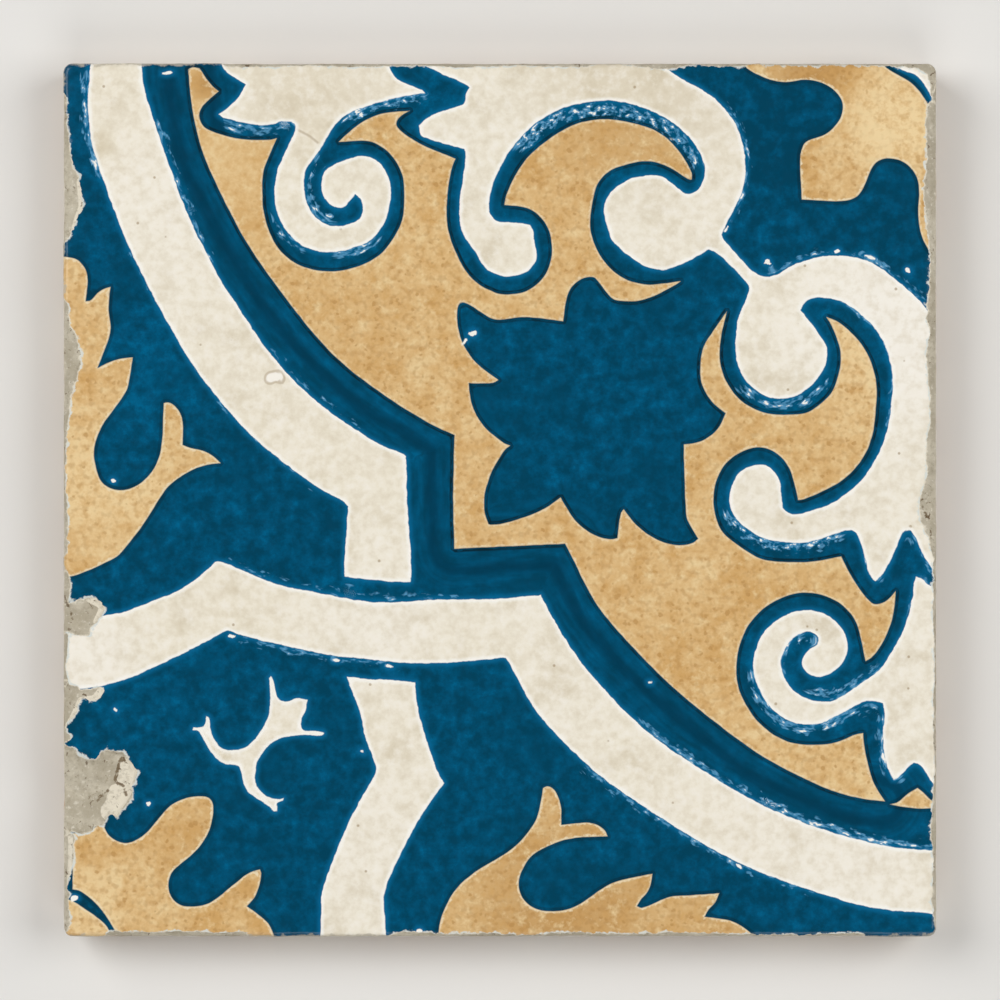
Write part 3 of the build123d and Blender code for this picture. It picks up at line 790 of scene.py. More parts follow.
cellRings = [cellOutline(c, grow, cellStep) for c in cellCentres for grow in (arris, -cellFoot, -wall)]
backCurves = awayFrom(cellRings + [bottomPlan])
backHalf = halfWidth - tileForm["backClear"]
looseBack = loosePoints(tileForm["backGrid"], backHalf, seed=6, keepClear=backCurves)
backPlan, backTriangles, backOrigins, backInside = triangles([bottomPlan], cellRings, looseBack)
backTriangles = [tuple(t) for t, s in zip(backTriangles, backInside) if 0 in s]
nearest = pitch * (np.round(backPlan / pitch - 0.5) + 0.5)
nearest = np.clip(nearest, -pitch * (cells - 1) / 2, pitch * (cells - 1) / 2)
intoCell = -roundedSquare(backPlan - nearest, cellWidth / 2, tileForm["cellCorner"])
backHeight = tileForm["cellDepth"] * np.clip((intoCell + cellFoot) / (wall - cellFoot), 0, 1)
backHeight = np.maximum(backHeight, backRise["rim"] * smoothStep(intoCell, -arris, 0))
pressed = backRise["least"] + 0.05 * noiseAt(backPlan, 7, 1.5) + 0.02 * noiseAt(backPlan, 2, 3.5)
pressed = np.clip(pressed, 0, backRise["most"])
onRim = np.array([min(o) < len(bottomPlan) for o in backOrigins])
backHeight += np.where(onRim, 0, pressed)

print("one closed mesh")
rowCount = len(loop)
at = [faceAt] + sideRows + [np.column_stack([backPlan, backHeight])]
offsets = np.cumsum([0] + [len(a) for a in at])
at = np.concatenate(at)
rimOf = {}
for i, o in enumerate(backOrigins):
    for k in o:
        if k < rowCount:
            rimOf[k] = i + offsets[-2]
rows = [loop] + [np.arange(rowCount) + offsets[1 + i] for i in range(len(sideRows))]
rows.append(np.array([rimOf[k] for k in range(rowCount)]))
faces, faceMaterial, faceChart = [], [], []
glazed, broken, pressedClay = 0, 1, 2
for t, s in zip(faceTriangles, inside):
    faces.append(t)
    faceMaterial.append(broken if max(s) >= firstBreak else glazed)
    faceChart.append("face")
for upper, lower in zip(rows, rows[1:]):
    for i in range(rowCount):
        j = (i + 1) % rowCount
        faces.append((upper[i], lower[i], lower[j], upper[j]))
        faceMaterial.append(pressedClay)
        faceChart.append("side")
for t in backTriangles:
    faces.append(tuple(v + offsets[-2] for v in reversed(t)))
    faceMaterial.append(pressedClay)
    faceChart.append("back")

tileMesh = bpy.data.meshes.new("glazedTile")
tileMesh.from_pydata((at * metre).tolist(), [], faces)
tileMesh.polygons.foreach_set("material_index", faceMaterial)
spare = len(at) - count

# what the materials read, in mm or as a share, and its value away from the face
readings = {
    "toWhite": (toWhite, 5.0), "toOchre": (toOchre, -9.0), "toScar": (toScar, -9.0),
    "toBorder": (toBorder, 99.0), "alongBorder": (alongBorder, 0.0), "toEdge": (toEdge, 0.0),
    "toBreak": (toBreak, 9.0), "fleck": (fleck, 0.0), "alongFleck": (alongFleck, 0.0),
    "fringe": (fringe, 0.0), "crack": (crack, 0.0), "tone": (tone, 0.0), "depth": (depth, 0.0),
    "evenness": (evenness, 0.0), "toCloud": (toCloud, -9.0),
}
for name, (values, elsewhere) in readings.items():
    layer = tileMesh.attributes.new(name, "FLOAT", "POINT")
    layer.data.foreach_set("value", np.concatenate([values, np.full(spare, elsewhere)]).astype(np.float32))

# one flat layout: the face, below it the four sides, beside it the back
layout = tileMesh.uv_layers.new(name="OFBake")
sheetScale = 0.75 / (2 * halfWidth)        # the face takes this share of the sheet
backScale = 0.235 / (2 * halfWidth)
stripHeight, faceMargin, sheetMargin = 0.058, 0.002, 0.003
backMiddle = [0.88, 0.87]
fromCorner = [sheetScale * halfWidth + faceMargin, 1 - sheetScale * halfWidth - faceMargin]
uv = np.zeros((len(tileMesh.loops), 2))
for polygon, chart in zip(tileMesh.polygons, faceChart):
    p = at[np.array(polygon.vertices)]
    if chart == "face":
        place = p[:, :2] * sheetScale + fromCorner
    elif chart == "back":
        place = p[:, :2] * [-backScale, backScale] + backMiddle
    else:
        middle = p.mean(axis=0)
        if abs(middle[0]) > abs(middle[1]):
            strip = 0 if middle[0] > 0 else 1
            along = p[:, 1]
        else:
            strip = 2 if middle[1] > 0 else 3
            along = p[:, 0]
        upStrip = p[:, 2] * sheetScale + sheetMargin + strip * stripHeight
        place = np.column_stack([along * sheetScale + fromCorner[0], upStrip])
    uv[list(polygon.loop_indices)] = place
layout.data.foreach_set("uv", uv.ravel().astype(np.float32))

tileMesh.shade_smooth()
tileMesh.set_sharp_from_angle(angle=math.radians(tileForm["sharpAngle"]))
tileMesh.validate()
glazedTile = bpy.data.objects.new("glazed_tile", tileMesh)
bpy.context.scene.collection.objects.link(glazedTile)
print("vertices", len(tileMesh.vertices), "faces", len(tileMesh.polygons))


def srgb(code):
    # a hex colour as written on screen, turned to linear
    parts = [int(code[i:i + 2], 16) / 255 for i in (1, 3, 5)]
    return tuple(c / 12.92 if c <= 0.04045 else ((c + 0.055) / 1.055) ** 2.4 for c in parts) + (1.0,)


def addNode(tree, kind, inputs=None, **settings):
    # adds one shader node, whose inputs are values or other nodes' outputs
    node = tree.nodes.new("ShaderNode" + kind)
    for name, value in settings.items():
        setattr(node, name, value)
    for name, value in (inputs or {}).items():
        if isinstance(value, bpy.types.NodeSocket):
            tree.links.new(value, node.inputs[name])
        else:
            node.inputs[name].default_value = value
    return node


def newMaterial(name):
    material = bpy.data.materials.new(name)
    material.use_nodes = True
    tree = material.node_tree
    tree.nodes.clear()
    place = addNode(tree, "TexCoord")
    mm = addNode(tree, "VectorMath", {0: place.outputs["Object"], "Scale": 1000.0}, operation="SCALE")
    return material, tree, mm.outputs[0]


def finishMaterial(tree, shader):
    addNode(tree, "OutputMaterial", {"Surface": shader.outputs["BSDF"]})


# Tin glaze: an opaque white lead and tin glaze, poured and fired, with cobalt blue and iron ochre
# brushed through stencils and sunk into it. The eye gets soft cream white, deep blue that pools
# darker in places, sandy ochre with iron specks, and a worn satin gloss over all. Sizes are in mm.
glazeLook = {
    "cream": "#EFE6D1", "creamLight": "#F5EEDE", "creamStain": "#D2C4A8", "creamPit": "#A8916F",
    "blueDeep": "#00425C", "blueBody": "#005579", "blueMottle": "#006F9C", "blueStripe": "#003850",
    "blueLip": "#0A6A99", "blueThin": "#5A9DC6", "glazeEdge": "#DCE0DA",
    "ochre": "#E3BF88", "ochreWarm": "#D3A667", "ochrePale": "#EED4A2", "ironSpeck": "#B5874C",
    "ochreAged": "#B98A4E", "creamAged": "#CDBC9A", "creamFresh": "#FDF8EE", "ochreFresh": "#F8DEAC",
    "creamThick": "#FFFDF6",
    "outline": "#08222B", "paleRim": "#F0DDB8", "haze": "#C2B9A6",
    "cloudSize": 13, "stainSize": 5.5, "creamGrain": 1.5, "pitSize": 4.2, "mottleSize": 2.4, "poolSize": 11,
    "sandSize": 6, "gritSize": 1.8, "speckSize": 1.0, "speckSpacing": 1.4, "wanderSize": 0.6,
    "creepSize": 1.6, "rippleSize": 2.2, "rippleDepth": 0.06,
    "streakSize": 1.2, "streakLength": 3.5,    # brush streaks along the border, drawn out by their length
    "fleckSize": 0.8, "fleckLength": 2.4,      # flecks along the broken-up lines, drawn out in the same way
    "roughness": 0.20, "unevenGloss": 0.04, "hazeRoughness": 0.8,    # the gloss has worn soft
    "ior": 1.5, "specular": 0.25,
}


def nearSegment(tree, mm, start, end):
    # nodes that give the distance to a straight line on the face
    reach = (end[0] - start[0], end[1] - start[1], 0)
    away = addNode(tree, "VectorMath", {0: mm, 1: (start[0], start[1], thickness)}, operation="SUBTRACT")
    passed = addNode(tree, "VectorMath", {0: away.outputs[0], 1: reach}, operation="DOT_PRODUCT")
    share = addNode(tree, "Math", {0: passed.outputs["Value"], 1: reach[0] ** 2 + reach[1] ** 2},
                    operation="DIVIDE", use_clamp=True)
    foot = addNode(tree, "VectorMath", {0: reach, "Scale": share.outputs[0]}, operation="SCALE")
    apart = addNode(tree, "VectorMath", {0: away.outputs[0], 1: foot.outputs[0]}, operation="DISTANCE")
    return apart.outputs["Value"]


def paintedGlaze(look):
    material, tree, mm = newMaterial("tinGlaze")
    reading = {}
    for name in ("toWhite", "toOchre", "toCloud", "toScar", "toBorder", "alongBorder", "toEdge", "toBreak",
                 "fleck", "alongFleck", "tone", "depth", "evenness"):
        reading[name] = addNode(tree, "Attribute", attribute_name=name).outputs["Fac"]
    toWhite, toOchre, toEdge = reading["toWhite"], reading["toOchre"], reading["toEdge"]
    axes = addNode(tree, "SeparateXYZ", {0: mm})
    aged = addNode(tree, "MapRange", {"Value": reading["tone"], "To Max": 0.8})
    fresh = addNode(tree, "MapRange", {"Value": reading["tone"], "From Max": -1.0, "To Max": 0.8})

    # cream white: cloudy, stained in spots, paler towards the right
    cloud = addNode(tree, "TexNoise", {"Vector": mm, "Scale": 1 / look["cloudSize"], "Detail": 3.0,
                                       "Roughness": 0.6})
    across = addNode(tree, "MapRange", {"Value": axes.outputs[0], "From Min": -70.0, "From Max": 60.0,
                                        "To Min": -0.2, "To Max": 0.25})
    paler = addNode(tree, "Math", {0: cloud.outputs["Fac"], 1: across.outputs[0]}, operation="ADD",
                    use_clamp=True)
    cream = addNode(tree, "Mix", {0: paler.outputs[0], 6: srgb(look["cream"]), 7: srgb(look["creamLight"])},
                    data_type="RGBA")
    stain = addNode(tree, "TexNoise", {"Vector": mm, "Scale": 1 / look["stainSize"], "Detail": 5.0,
                                       "Roughness": 0.58, "Distortion": 0.2})
    stainLeft = addNode(tree, "MapRange", {"Value": reading["tone"], "From Max": -1.0, "To Min": 0.6,
                                           "To Max": 0.2})
    stained = addNode(tree, "MapRange", {"Value": stain.outputs["Fac"], "From Min": 0.48, "From Max": 0.76,
                                         "To Max": stainLeft.outputs[0]}, interpolation_type="SMOOTHSTEP")
    fine = addNode(tree, "TexNoise", {"Vector": mm, "Scale": 1 / look["creamGrain"], "Detail": 3.0,
                                      "Roughness": 0.6})
    greyer = addNode(tree, "MapRange", {"Value": fine.outputs["Fac"], "From Min": 0.48, "From Max": 0.74,
                                        "To Max": 0.42})
    milkier = addNode(tree, "MapRange", {"Value": fine.outputs["Fac"], "From Min": 0.50, "From Max": 0.28,
                                         "To Max": 0.5})
    pits = addNode(tree, "TexVoronoi", {"Vector": mm, "Scale": 1 / look["pitSize"], "Randomness": 1.0})
    pitted = addNode(tree, "MapRange", {"Value": pits.outputs["Distance"], "From Min": 0.035,
                                        "From Max": 0.075, "To Min": 0.7, "To Max": 0.0},
                     interpolation_type="SMOOTHSTEP")

    # the healed blister is paler with a brown rim, and the hairline crack is brown
    scarred = addNode(tree, "MapRange", {"Value": reading["toScar"], "From Min": 0.0, "From Max": 0.25,
                                         "To Max": 0.9})
    nearest = addNode(tree, "Math", {0: reading["toScar"]}, operation="ABSOLUTE").outputs[0]
    for start, end in hairlines:
        nearest = addNode(tree, "Math", {0: nearest, 1: nearSegment(tree, mm, start, end)},
                          operation="MINIMUM").outputs[0]
    lined = addNode(tree, "MapRange", {"Value": nearest, "From Min": 0.05, "From Max": 0.32, "To Min": 0.5,
                                       "To Max": 0.0}, interpolation_type="SMOOTHSTEP")

    # where the white meets the blue its glaze lies thicker
    alongEdge = addNode(tree, "Math", {0: fine.outputs["Fac"], 1: 0.5, 2: toWhite},
                        operation="MULTIPLY_ADD")
    thick = addNode(tree, "MapRange", {"Value": alongEdge.outputs[0], "From Min": 0.40, "From Max": 1.05,
                                       "To Min": 0.8, "To Max": 0.0}, interpolation_type="SMOOTHSTEP")
    for share, tint in ((aged, "creamAged"), (fresh, "creamFresh"), (stained, "creamStain"),
                        (greyer, "creamStain"), (milkier, "creamFresh"), (pitted, "creamPit"),
                        (scarred, "creamFresh"), (lined, "creamPit"), (thick, "creamThick")):
        cream = addNode(tree, "Mix", {0: share.outputs[0], 6: cream.outputs[2], 7: srgb(look[tint])},
                        data_type="RGBA")

    # cobalt blue: mottled, pooled dark in places and in the middle of the broad border
    mottle = addNode(tree, "TexNoise", {"Vector": mm, "Scale": 1 / look["mottleSize"], "Detail": 4.0,
                                        "Roughness": 0.68})
    acrossBorder = addNode(tree, "Math", {0: reading["toBorder"], 1: look["streakLength"]},
                           operation="MULTIPLY")
    onBorder = addNode(tree, "CombineXYZ", {0: reading["alongBorder"], 1: acrossBorder.outputs[0]})
    streak = addNode(tree, "TexNoise", {"Vector": onBorder.outputs[0],
                                        "Scale": 1 / (look["streakSize"] * look["streakLength"]),
                                        "Detail": 2.0, "Roughness": 0.5})
    inBorder = addNode(tree, "MapRange", {"Value": reading["toBorder"], "From Min": 9.0, "From Max": 6.0,
                                          "To Max": 0.55})
    patchy = addNode(tree, "Mix", {0: inBorder.outputs[0], 2: mottle.outputs["Fac"],
                                   3: streak.outputs["Fac"]})
    thinness = addNode(tree, "Math", {0: reading["depth"], 1: -0.14, 2: patchy.outputs[0]},
                       operation="MULTIPLY_ADD")
    mottled = addNode(tree, "MapRange", {"Value": thinness.outputs[0], "From Min": 0.34, "From Max": 0.66},
                      interpolation_type="SMOOTHSTEP")
    blue = addNode(tree, "Mix", {0: mottled.outputs[0], 6: srgb(look["blueDeep"]),
                                 7: srgb(look["blueBody"])}, data_type="RGBA")
    bright = addNode(tree, "MapRange", {"Value": thinness.outputs[0], "From Min": 0.56, "From Max": 0.78,
                                        "To Max": 0.55}, interpolation_type="SMOOTHSTEP")
    pool = addNode(tree, "TexNoise", {"Vector": mm, "Scale": 1 / look["poolSize"], "Detail": 3.0,
                                      "Roughness": 0.55})
    pooled = addNode(tree, "MapRange", {"Value": pool.outputs["Fac"], "From Min": 0.48, "From Max": 0.72,
                                        "To Max": 0.55}, interpolation_type="SMOOTHSTEP")
    stripeAt = addNode(tree, "Math", {0: pool.outputs["Fac"], 1: 2.2, 2: reading["toBorder"]},
                       operation="MULTIPLY_ADD")
    stripeIn = addNode(tree, "MapRange", {"Value": stripeAt.outputs[0], "From Min": 2.7, "From Max": 4.4},
                       interpolation_type="SMOOTHSTEP")
    stripeOut = addNode(tree, "MapRange", {"Value": stripeAt.outputs[0], "From Min": 4.7, "From Max": 6.1,
                                           "To Min": 0.75, "To Max": 0.0}, interpolation_type="SMOOTHSTEP")
    stripe = addNode(tree, "Math", {0: stripeIn.outputs[0], 1: stripeOut.outputs[0]}, operation="MULTIPLY")
    lip = addNode(tree, "MapRange", {"Value": toWhite, "From Min": -1.1, "From Max": 0.0, "To Max": 0.75},
                  interpolation_type="SMOOTHSTEP")

    # flecks where the blue line broke up, each with a thin blue halo
    stretched = addNode(tree, "Math", {0: toWhite, 1: look["fleckLength"]}, operation="MULTIPLY")
    onLines = addNode(tree, "CombineXYZ", {0: reading["alongFleck"], 1: stretched.outputs[0]})
    grain = addNode(tree, "TexNoise", {"Vector": onLines.outputs[0],
                                       "Scale": 1 / (look["fleckSize"] * look["fleckLength"]),
                                       "Detail": 2.0, "Roughness": 0.6})
    onLine = addNode(tree, "MapRange", {"Value": reading["fleck"], "From Max": 0.15})
    grain = addNode(tree, "Math", {0: grain.outputs["Fac"], 1: onLine.outputs[0]}, operation="MULTIPLY")
    density = addNode(tree, "Math", {0: reading["fleck"], 1: 0.30, 2: grain.outputs[0]},
                      operation="MULTIPLY_ADD")
    thin = addNode(tree, "MapRange", {"Value": density.outputs[0], "From Min": 0.68, "From Max": 0.82,
                                      "To Max": 0.85}, interpolation_type="SMOOTHSTEP")
    for share, tint in ((bright, "blueMottle"), (pooled, "blueDeep"), (stripe, "blueStripe"),
                        (lip, "blueLip"), (thin, "blueThin")):
        blue = addNode(tree, "Mix", {0: share.outputs[0], 6: blue.outputs[2], 7: srgb(look[tint])},
                       data_type="RGBA")
    flecked = addNode(tree, "MapRange", {"Value": density.outputs[0], "From Min": 0.83, "From Max": 0.92},
                      interpolation_type="SMOOTHSTEP")
    blue = addNode(tree, "Mix", {0: flecked.outputs[0], 6: blue.outputs[2], 7: cream.outputs[2]},
                   data_type="RGBA")

    # ochre: sandy, streaked, with iron specks
    sand = addNode(tree, "TexNoise", {"Vector": mm, "Scale": 1 / look["sandSize"], "Detail": 6.0,
                                      "Roughness": 0.75})
    warm = addNode(tree, "MapRange", {"Value": sand.outputs["Fac"], "From Min": 0.46, "From Max": 0.66,
                                      "To Max": 0.9}, interpolation_type="SMOOTHSTEP")
    ochre = addNode(tree, "Mix", {0: warm.outputs[0], 6: srgb(look["ochre"]), 7: srgb(look["ochreWarm"])},
                    data_type="RGBA")
    pale = addNode(tree, "MapRange", {"Value": sand.outputs["Fac"], "From Min": 0.46, "From Max": 0.30,
                                      "To Max": 0.6}, interpolation_type="SMOOTHSTEP")
    gritty = addNode(tree, "TexNoise", {"Vector": mm, "Scale": 1 / look["gritSize"], "Detail": 3.0,
                                        "Roughness": 0.65})
    grit = addNode(tree, "MapRange", {"Value": gritty.outputs["Fac"], "From Min": 0.46, "From Max": 0.72,
                                      "To Max": 0.75})
    milky = addNode(tree, "MapRange", {"Value": gritty.outputs["Fac"], "From Min": 0.46, "From Max": 0.26,
                                       "To Max": 0.8})
    iron = addNode(tree, "TexNoise", {"Vector": mm, "Scale": 1 / look["speckSize"], "Detail": 1.0,
                                      "Roughness": 0.4})
    drift = addNode(tree, "VectorMath", {0: iron.outputs["Color"], 1: (0.4, 0.4, 0.4), 2: mm},
                    operation="MULTIPLY_ADD")
    spots = addNode(tree, "TexVoronoi", {"Vector": drift.outputs[0], "Scale": 1 / look["speckSpacing"]})
    speckiness = addNode(tree, "MapRange", {"Value": reading["evenness"], "To Min": 0.55, "To Max": 0.05})
    blotchiness = addNode(tree, "Math", {0: speckiness.outputs[0], 1: 0.7}, operation="MULTIPLY")
    blotched = addNode(tree, "MapRange", {"Value": iron.outputs["Fac"], "From Min": 0.46, "From Max": 0.72,
                                          "To Max": blotchiness.outputs[0]},
                       interpolation_type="SMOOTHSTEP")
    spotAt = addNode(tree, "Math", {0: gritty.outputs["Fac"], 1: -1.0, 2: spots.outputs["Distance"]},
                     operation="MULTIPLY_ADD")
    spotted = addNode(tree, "MapRange", {"Value": spotAt.outputs[0], "From Min": -0.42, "From Max": -0.22,
                                         "To Min": speckiness.outputs[0], "To Max": 0.0},
                      interpolation_type="SMOOTHSTEP")
    specked = addNode(tree, "Math", {0: blotched.outputs[0], 1: spotted.outputs[0]}, operation="MAXIMUM")

    # the three paints meet: blue over cream, ochre over blue, and a dark line along the ochre's edge on the
    # blue side
    wander = addNode(tree, "TexNoise", {"Vector": mm, "Scale": 1 / look["wanderSize"], "Detail": 2.0})
    shakenEdge = addNode(tree, "Math", {0: wander.outputs["Fac"], 1: 0.16, 2: toWhite},
                         operation="MULTIPLY_ADD")
    isCream = addNode(tree, "MapRange", {"Value": shakenEdge.outputs[0], "From Min": 0.0, "From Max": 0.16},
                      interpolation_type="SMOOTHSTEP")
    isOchre = addNode(tree, "MapRange", {"Value": toOchre, "From Min": -0.06, "From Max": 0.06},
                      interpolation_type="SMOOTHSTEP")
    fromLine = addNode(tree, "Math", {0: toOchre, 1: 0.25}, operation="ADD")
    fromLine = addNode(tree, "Math", {0: fromLine.outputs[0]}, operation="ABSOLUTE")
    lineTone = addNode(tree, "MapRange", {"Value": cloud.outputs["Fac"], "From Min": 0.35, "From Max": 0.65,
                                          "To Min": 0.98, "To Max": 0.55})
    onField = addNode(tree, "MapRange", {"Value": reading["toCloud"], "From Min": -1.2, "From Max": -0.8,
                                         "To Min": 1.0, "To Max": 0.55})
    lineTone = addNode(tree, "Math", {0: lineTone.outputs[0], 1: onField.outputs[0]}, operation="MULTIPLY")
    onLine = addNode(tree, "MapRange", {"Value": fromLine.outputs[0], "From Min": 0.18, "From Max": 0.44,
                                        "To Min": lineTone.outputs[0], "To Max": 0.0},
                     interpolation_type="SMOOTHSTEP")
    rimAt = addNode(tree, "Math", {0: wander.outputs["Fac"], 1: 0.9, 2: reading["toCloud"]},
                    operation="MULTIPLY_ADD")
    rimmed = addNode(tree, "MapRange", {"Value": rimAt.outputs[0], "From Min": 0.95, "From Max": 0.60,
                                        "To Max": 0.25}, interpolation_type="SMOOTHSTEP")
    rimAt = addNode(tree, "Math", {0: wander.outputs["Fac"], 1: 1.2, 2: toOchre}, operation="MULTIPLY_ADD")
    faintRim = addNode(tree, "MapRange", {"Value": rimAt.outputs[0], "From Min": 1.05, "From Max": 0.60,
                                          "To Max": 0.75}, interpolation_type="SMOOTHSTEP")
    rimmed = addNode(tree, "Math", {0: rimmed.outputs[0], 1: faintRim.outputs[0]}, operation="ADD")
    for share, tint in ((pale, "ochrePale"), (aged, "ochreAged"), (fresh, "ochreFresh"),
                        (grit, "ochreWarm"), (milky, "ochrePale"), (specked, "ironSpeck"),
                        (rimmed, "paleRim")):
        ochre = addNode(tree, "Mix", {0: share.outputs[0], 6: ochre.outputs[2], 7: srgb(look[tint])},
                        data_type="RGBA")
    colour = addNode(tree, "Mix", {0: isOchre.outputs[0], 6: blue.outputs[2], 7: ochre.outputs[2]},
                     data_type="RGBA")
    colour = addNode(tree, "Mix", {0: onLine.outputs[0], 6: colour.outputs[2], 7: srgb(look["outline"])},
                     data_type="RGBA")
    colour = addNode(tree, "Mix", {0: isCream.outputs[0], 6: colour.outputs[2], 7: cream.outputs[2]},
                     data_type="RGBA")

    # the white glaze shows its thickness along the breaks
    creep = addNode(tree, "TexNoise", {"Vector": mm, "Scale": 1 / look["creepSize"], "Detail": 4.0,
                                       "Roughness": 0.65})
    edgeWander = addNode(tree, "Math", {0: creep.outputs["Fac"], 1: -2.2, 2: reading["toBreak"]},
                         operation="MULTIPLY_ADD")
    brokenEdge = addNode(tree, "MapRange", {"Value": edgeWander.outputs[0], "From Min": -1.12,
                                            "From Max": -0.86, "To Min": 0.9, "To Max": 0.0},
                         interpolation_type="SMOOTHSTEP")
    colour = addNode(tree, "Mix", {0: brokenEdge.outputs[0], 6: colour.outputs[2],
                                   7: srgb(look["glazeEdge"])}, data_type="RGBA")

    # mortar haze creeps in from the edges
    hazeAt = addNode(tree, "Math", {0: creep.outputs["Fac"], 1: -2.4, 2: toEdge}, operation="MULTIPLY_ADD")
    hazed = addNode(tree, "MapRange", {"Value": hazeAt.outputs[0], "From Min": -1.2, "From Max": -0.75,
                                       "To Min": 0.75, "To Max": 0.0}, interpolation_type="SMOOTHSTEP")
    colour = addNode(tree, "Mix", {0: hazed.outputs[0], 6: colour.outputs[2], 7: srgb(look["haze"])},
                     data_type="RGBA")

    # fired surface: a faint ripple, fine pits and a paint layer that stands a hair proud
    ripple = addNode(tree, "TexNoise", {"Vector": mm, "Scale": 1 / look["rippleSize"], "Detail": 3.0})
    sunk = addNode(tree, "Math", {0: pitted.outputs[0], 1: -0.5, 2: ripple.outputs["Fac"]},
                   operation="MULTIPLY_ADD")
    layer = addNode(tree, "Math", {0: isCream.outputs[0], 1: -0.3, 2: sunk.outputs[0]},
                    operation="MULTIPLY_ADD")
    relief = addNode(tree, "Bump", {"Strength": 0.6, "Distance": look["rippleDepth"] * metre,
                                    "Height": layer.outputs[0]})
    worn = addNode(tree, "MapRange", {"Value": creep.outputs["Fac"], "From Min": 0.3, "From Max": 0.7,
                                      "To Min": look["roughness"] - look["unevenGloss"],
                                      "To Max": look["roughness"] + look["unevenGloss"]})
    dull = addNode(tree, "Mix", {0: hazed.outputs[0], 2: worn.outputs[0], 3: look["hazeRoughness"]})
    shader = addNode(tree, "BsdfPrincipled", {"Base Color": colour.outputs[2], "Roughness": dull.outputs[0],
                                              "IOR": look["ior"], "Specular IOR Level": look["specular"],
                                              "Normal": relief.outputs[0]})
    finishMaterial(tree, shader)
    return material


# Broken body and mortar crust: fired clay broken through the glaze, its hollows still packed with
# lime and sand mortar. The eye gets a dull sandy grey with cream grains and brown pits.
breakLook = {
    "mortar": "#B3A994", "mortarLight": "#C9C0AC", "sand": "#8B8069", "grain": "#E0D9C9", "clay": "#E9E0CC",
    "pit": "#5F4A2E", "crack": "#6A5638", "patchSize": 4.0, "grainSize": 0.8, "pitSize": 1.1,
    "grainDepth": 0.25, "roughness": 0.92, "ior": 1.5,
}


def brokenBody(look):
    material, tree, mm = newMaterial("mortarCrust")
    toBreak = addNode(tree, "Attribute", attribute_name="toBreak").outputs["Fac"]
    fringe = addNode(tree, "Attribute", attribute_name="fringe").outputs["Fac"]
    crack = addNode(tree, "Attribute", attribute_name="crack").outputs["Fac"]
    patch = addNode(tree, "TexNoise", {"Vector": mm, "Scale": 1 / look["patchSize"], "Detail": 5.0,
                                       "Roughness": 0.6})
    grain = addNode(tree, "TexNoise", {"Vector": mm, "Scale": 1 / look["grainSize"], "Detail": 4.0,
                                       "Roughness": 0.7})
    patched = addNode(tree, "MapRange", {"Value": patch.outputs["Fac"], "From Min": 0.38, "From Max": 0.62},
                      interpolation_type="SMOOTHSTEP")
    colour = addNode(tree, "Mix", {0: patched.outputs[0], 6: srgb(look["mortar"]),
                                   7: srgb(look["mortarLight"])}, data_type="RGBA")
    dark = addNode(tree, "MapRange", {"Value": grain.outputs["Fac"], "From Min": 0.55, "From Max": 0.72,
                                      "To Max": 0.6}, interpolation_type="SMOOTHSTEP")
    pits = addNode(tree, "TexNoise", {"Vector": mm, "Scale": 1 / look["pitSize"], "Detail": 3.0,
                                      "Roughness": 0.6, "Distortion": 1.2})
    light = addNode(tree, "MapRange", {"Value": grain.outputs["Fac"], "From Min": 0.45, "From Max": 0.30,
                                       "To Max": 0.8}, interpolation_type="SMOOTHSTEP")
    ragged = addNode(tree, "Math", {0: patch.outputs["Fac"], 1: -0.9, 2: fringe}, operation="MULTIPLY_ADD")
    clinging = addNode(tree, "MapRange", {"Value": ragged.outputs[0], "From Min": -0.05, "From Max": 0.08,
                                          "To Max": 0.95}, interpolation_type="SMOOTHSTEP")
    rim = addNode(tree, "Math", {0: grain.outputs["Fac"], 1: 0.8, 2: toBreak}, operation="MULTIPLY_ADD")
    rimmed = addNode(tree, "MapRange", {"Value": rim.outputs[0], "From Min": 0.45, "From Max": 0.65,
                                        "To Min": 0.8, "To Max": 0.0}, interpolation_type="SMOOTHSTEP")
    bare = addNode(tree, "Math", {0: clinging.outputs[0], 1: rimmed.outputs[0]}, operation="MAXIMUM")
    gritty = addNode(tree, "MapRange", {"Value": grain.outputs["Fac"], "From Min": 0.50, "From Max": 0.64,
                                        "To Max": 0.45}, interpolation_type="SMOOTHSTEP")
    gaping = addNode(tree, "Math", {0: pits.outputs["Fac"], 1: 1.6, 2: crack}, operation="MULTIPLY_ADD")
    cracked = addNode(tree, "MapRange", {"Value": gaping.outputs[0], "From Min": 1.45, "From Max": 1.75,
                                         "To Max": 0.85}, interpolation_type="SMOOTHSTEP")
    pitted = addNode(tree, "MapRange", {"Value": pits.outputs["Fac"], "From Min": 0.63, "From Max": 0.70,
                                        "To Max": 0.85}, interpolation_type="SMOOTHSTEP")
    for share, tint in ((dark, "sand"), (light, "grain"), (bare, "clay"), (gritty, "mortar"),
                        (cracked, "crack"), (pitted, "pit")):
        colour = addNode(tree, "Mix", {0: share.outputs[0], 6: colour.outputs[2], 7: srgb(look[tint])},
                         data_type="RGBA")
    relief = addNode(tree, "Bump", {"Strength": 0.9, "Distance": look["grainDepth"] * metre,
                                    "Height": grain.outputs["Fac"]})
    shader = addNode(tree, "BsdfPrincipled", {"Base Color": colour.outputs[2],
                                              "Roughness": look["roughness"], "IOR": look["ior"],
                                              "Normal": relief.outputs[0]})
    finishMaterial(tree, shader)
    return material
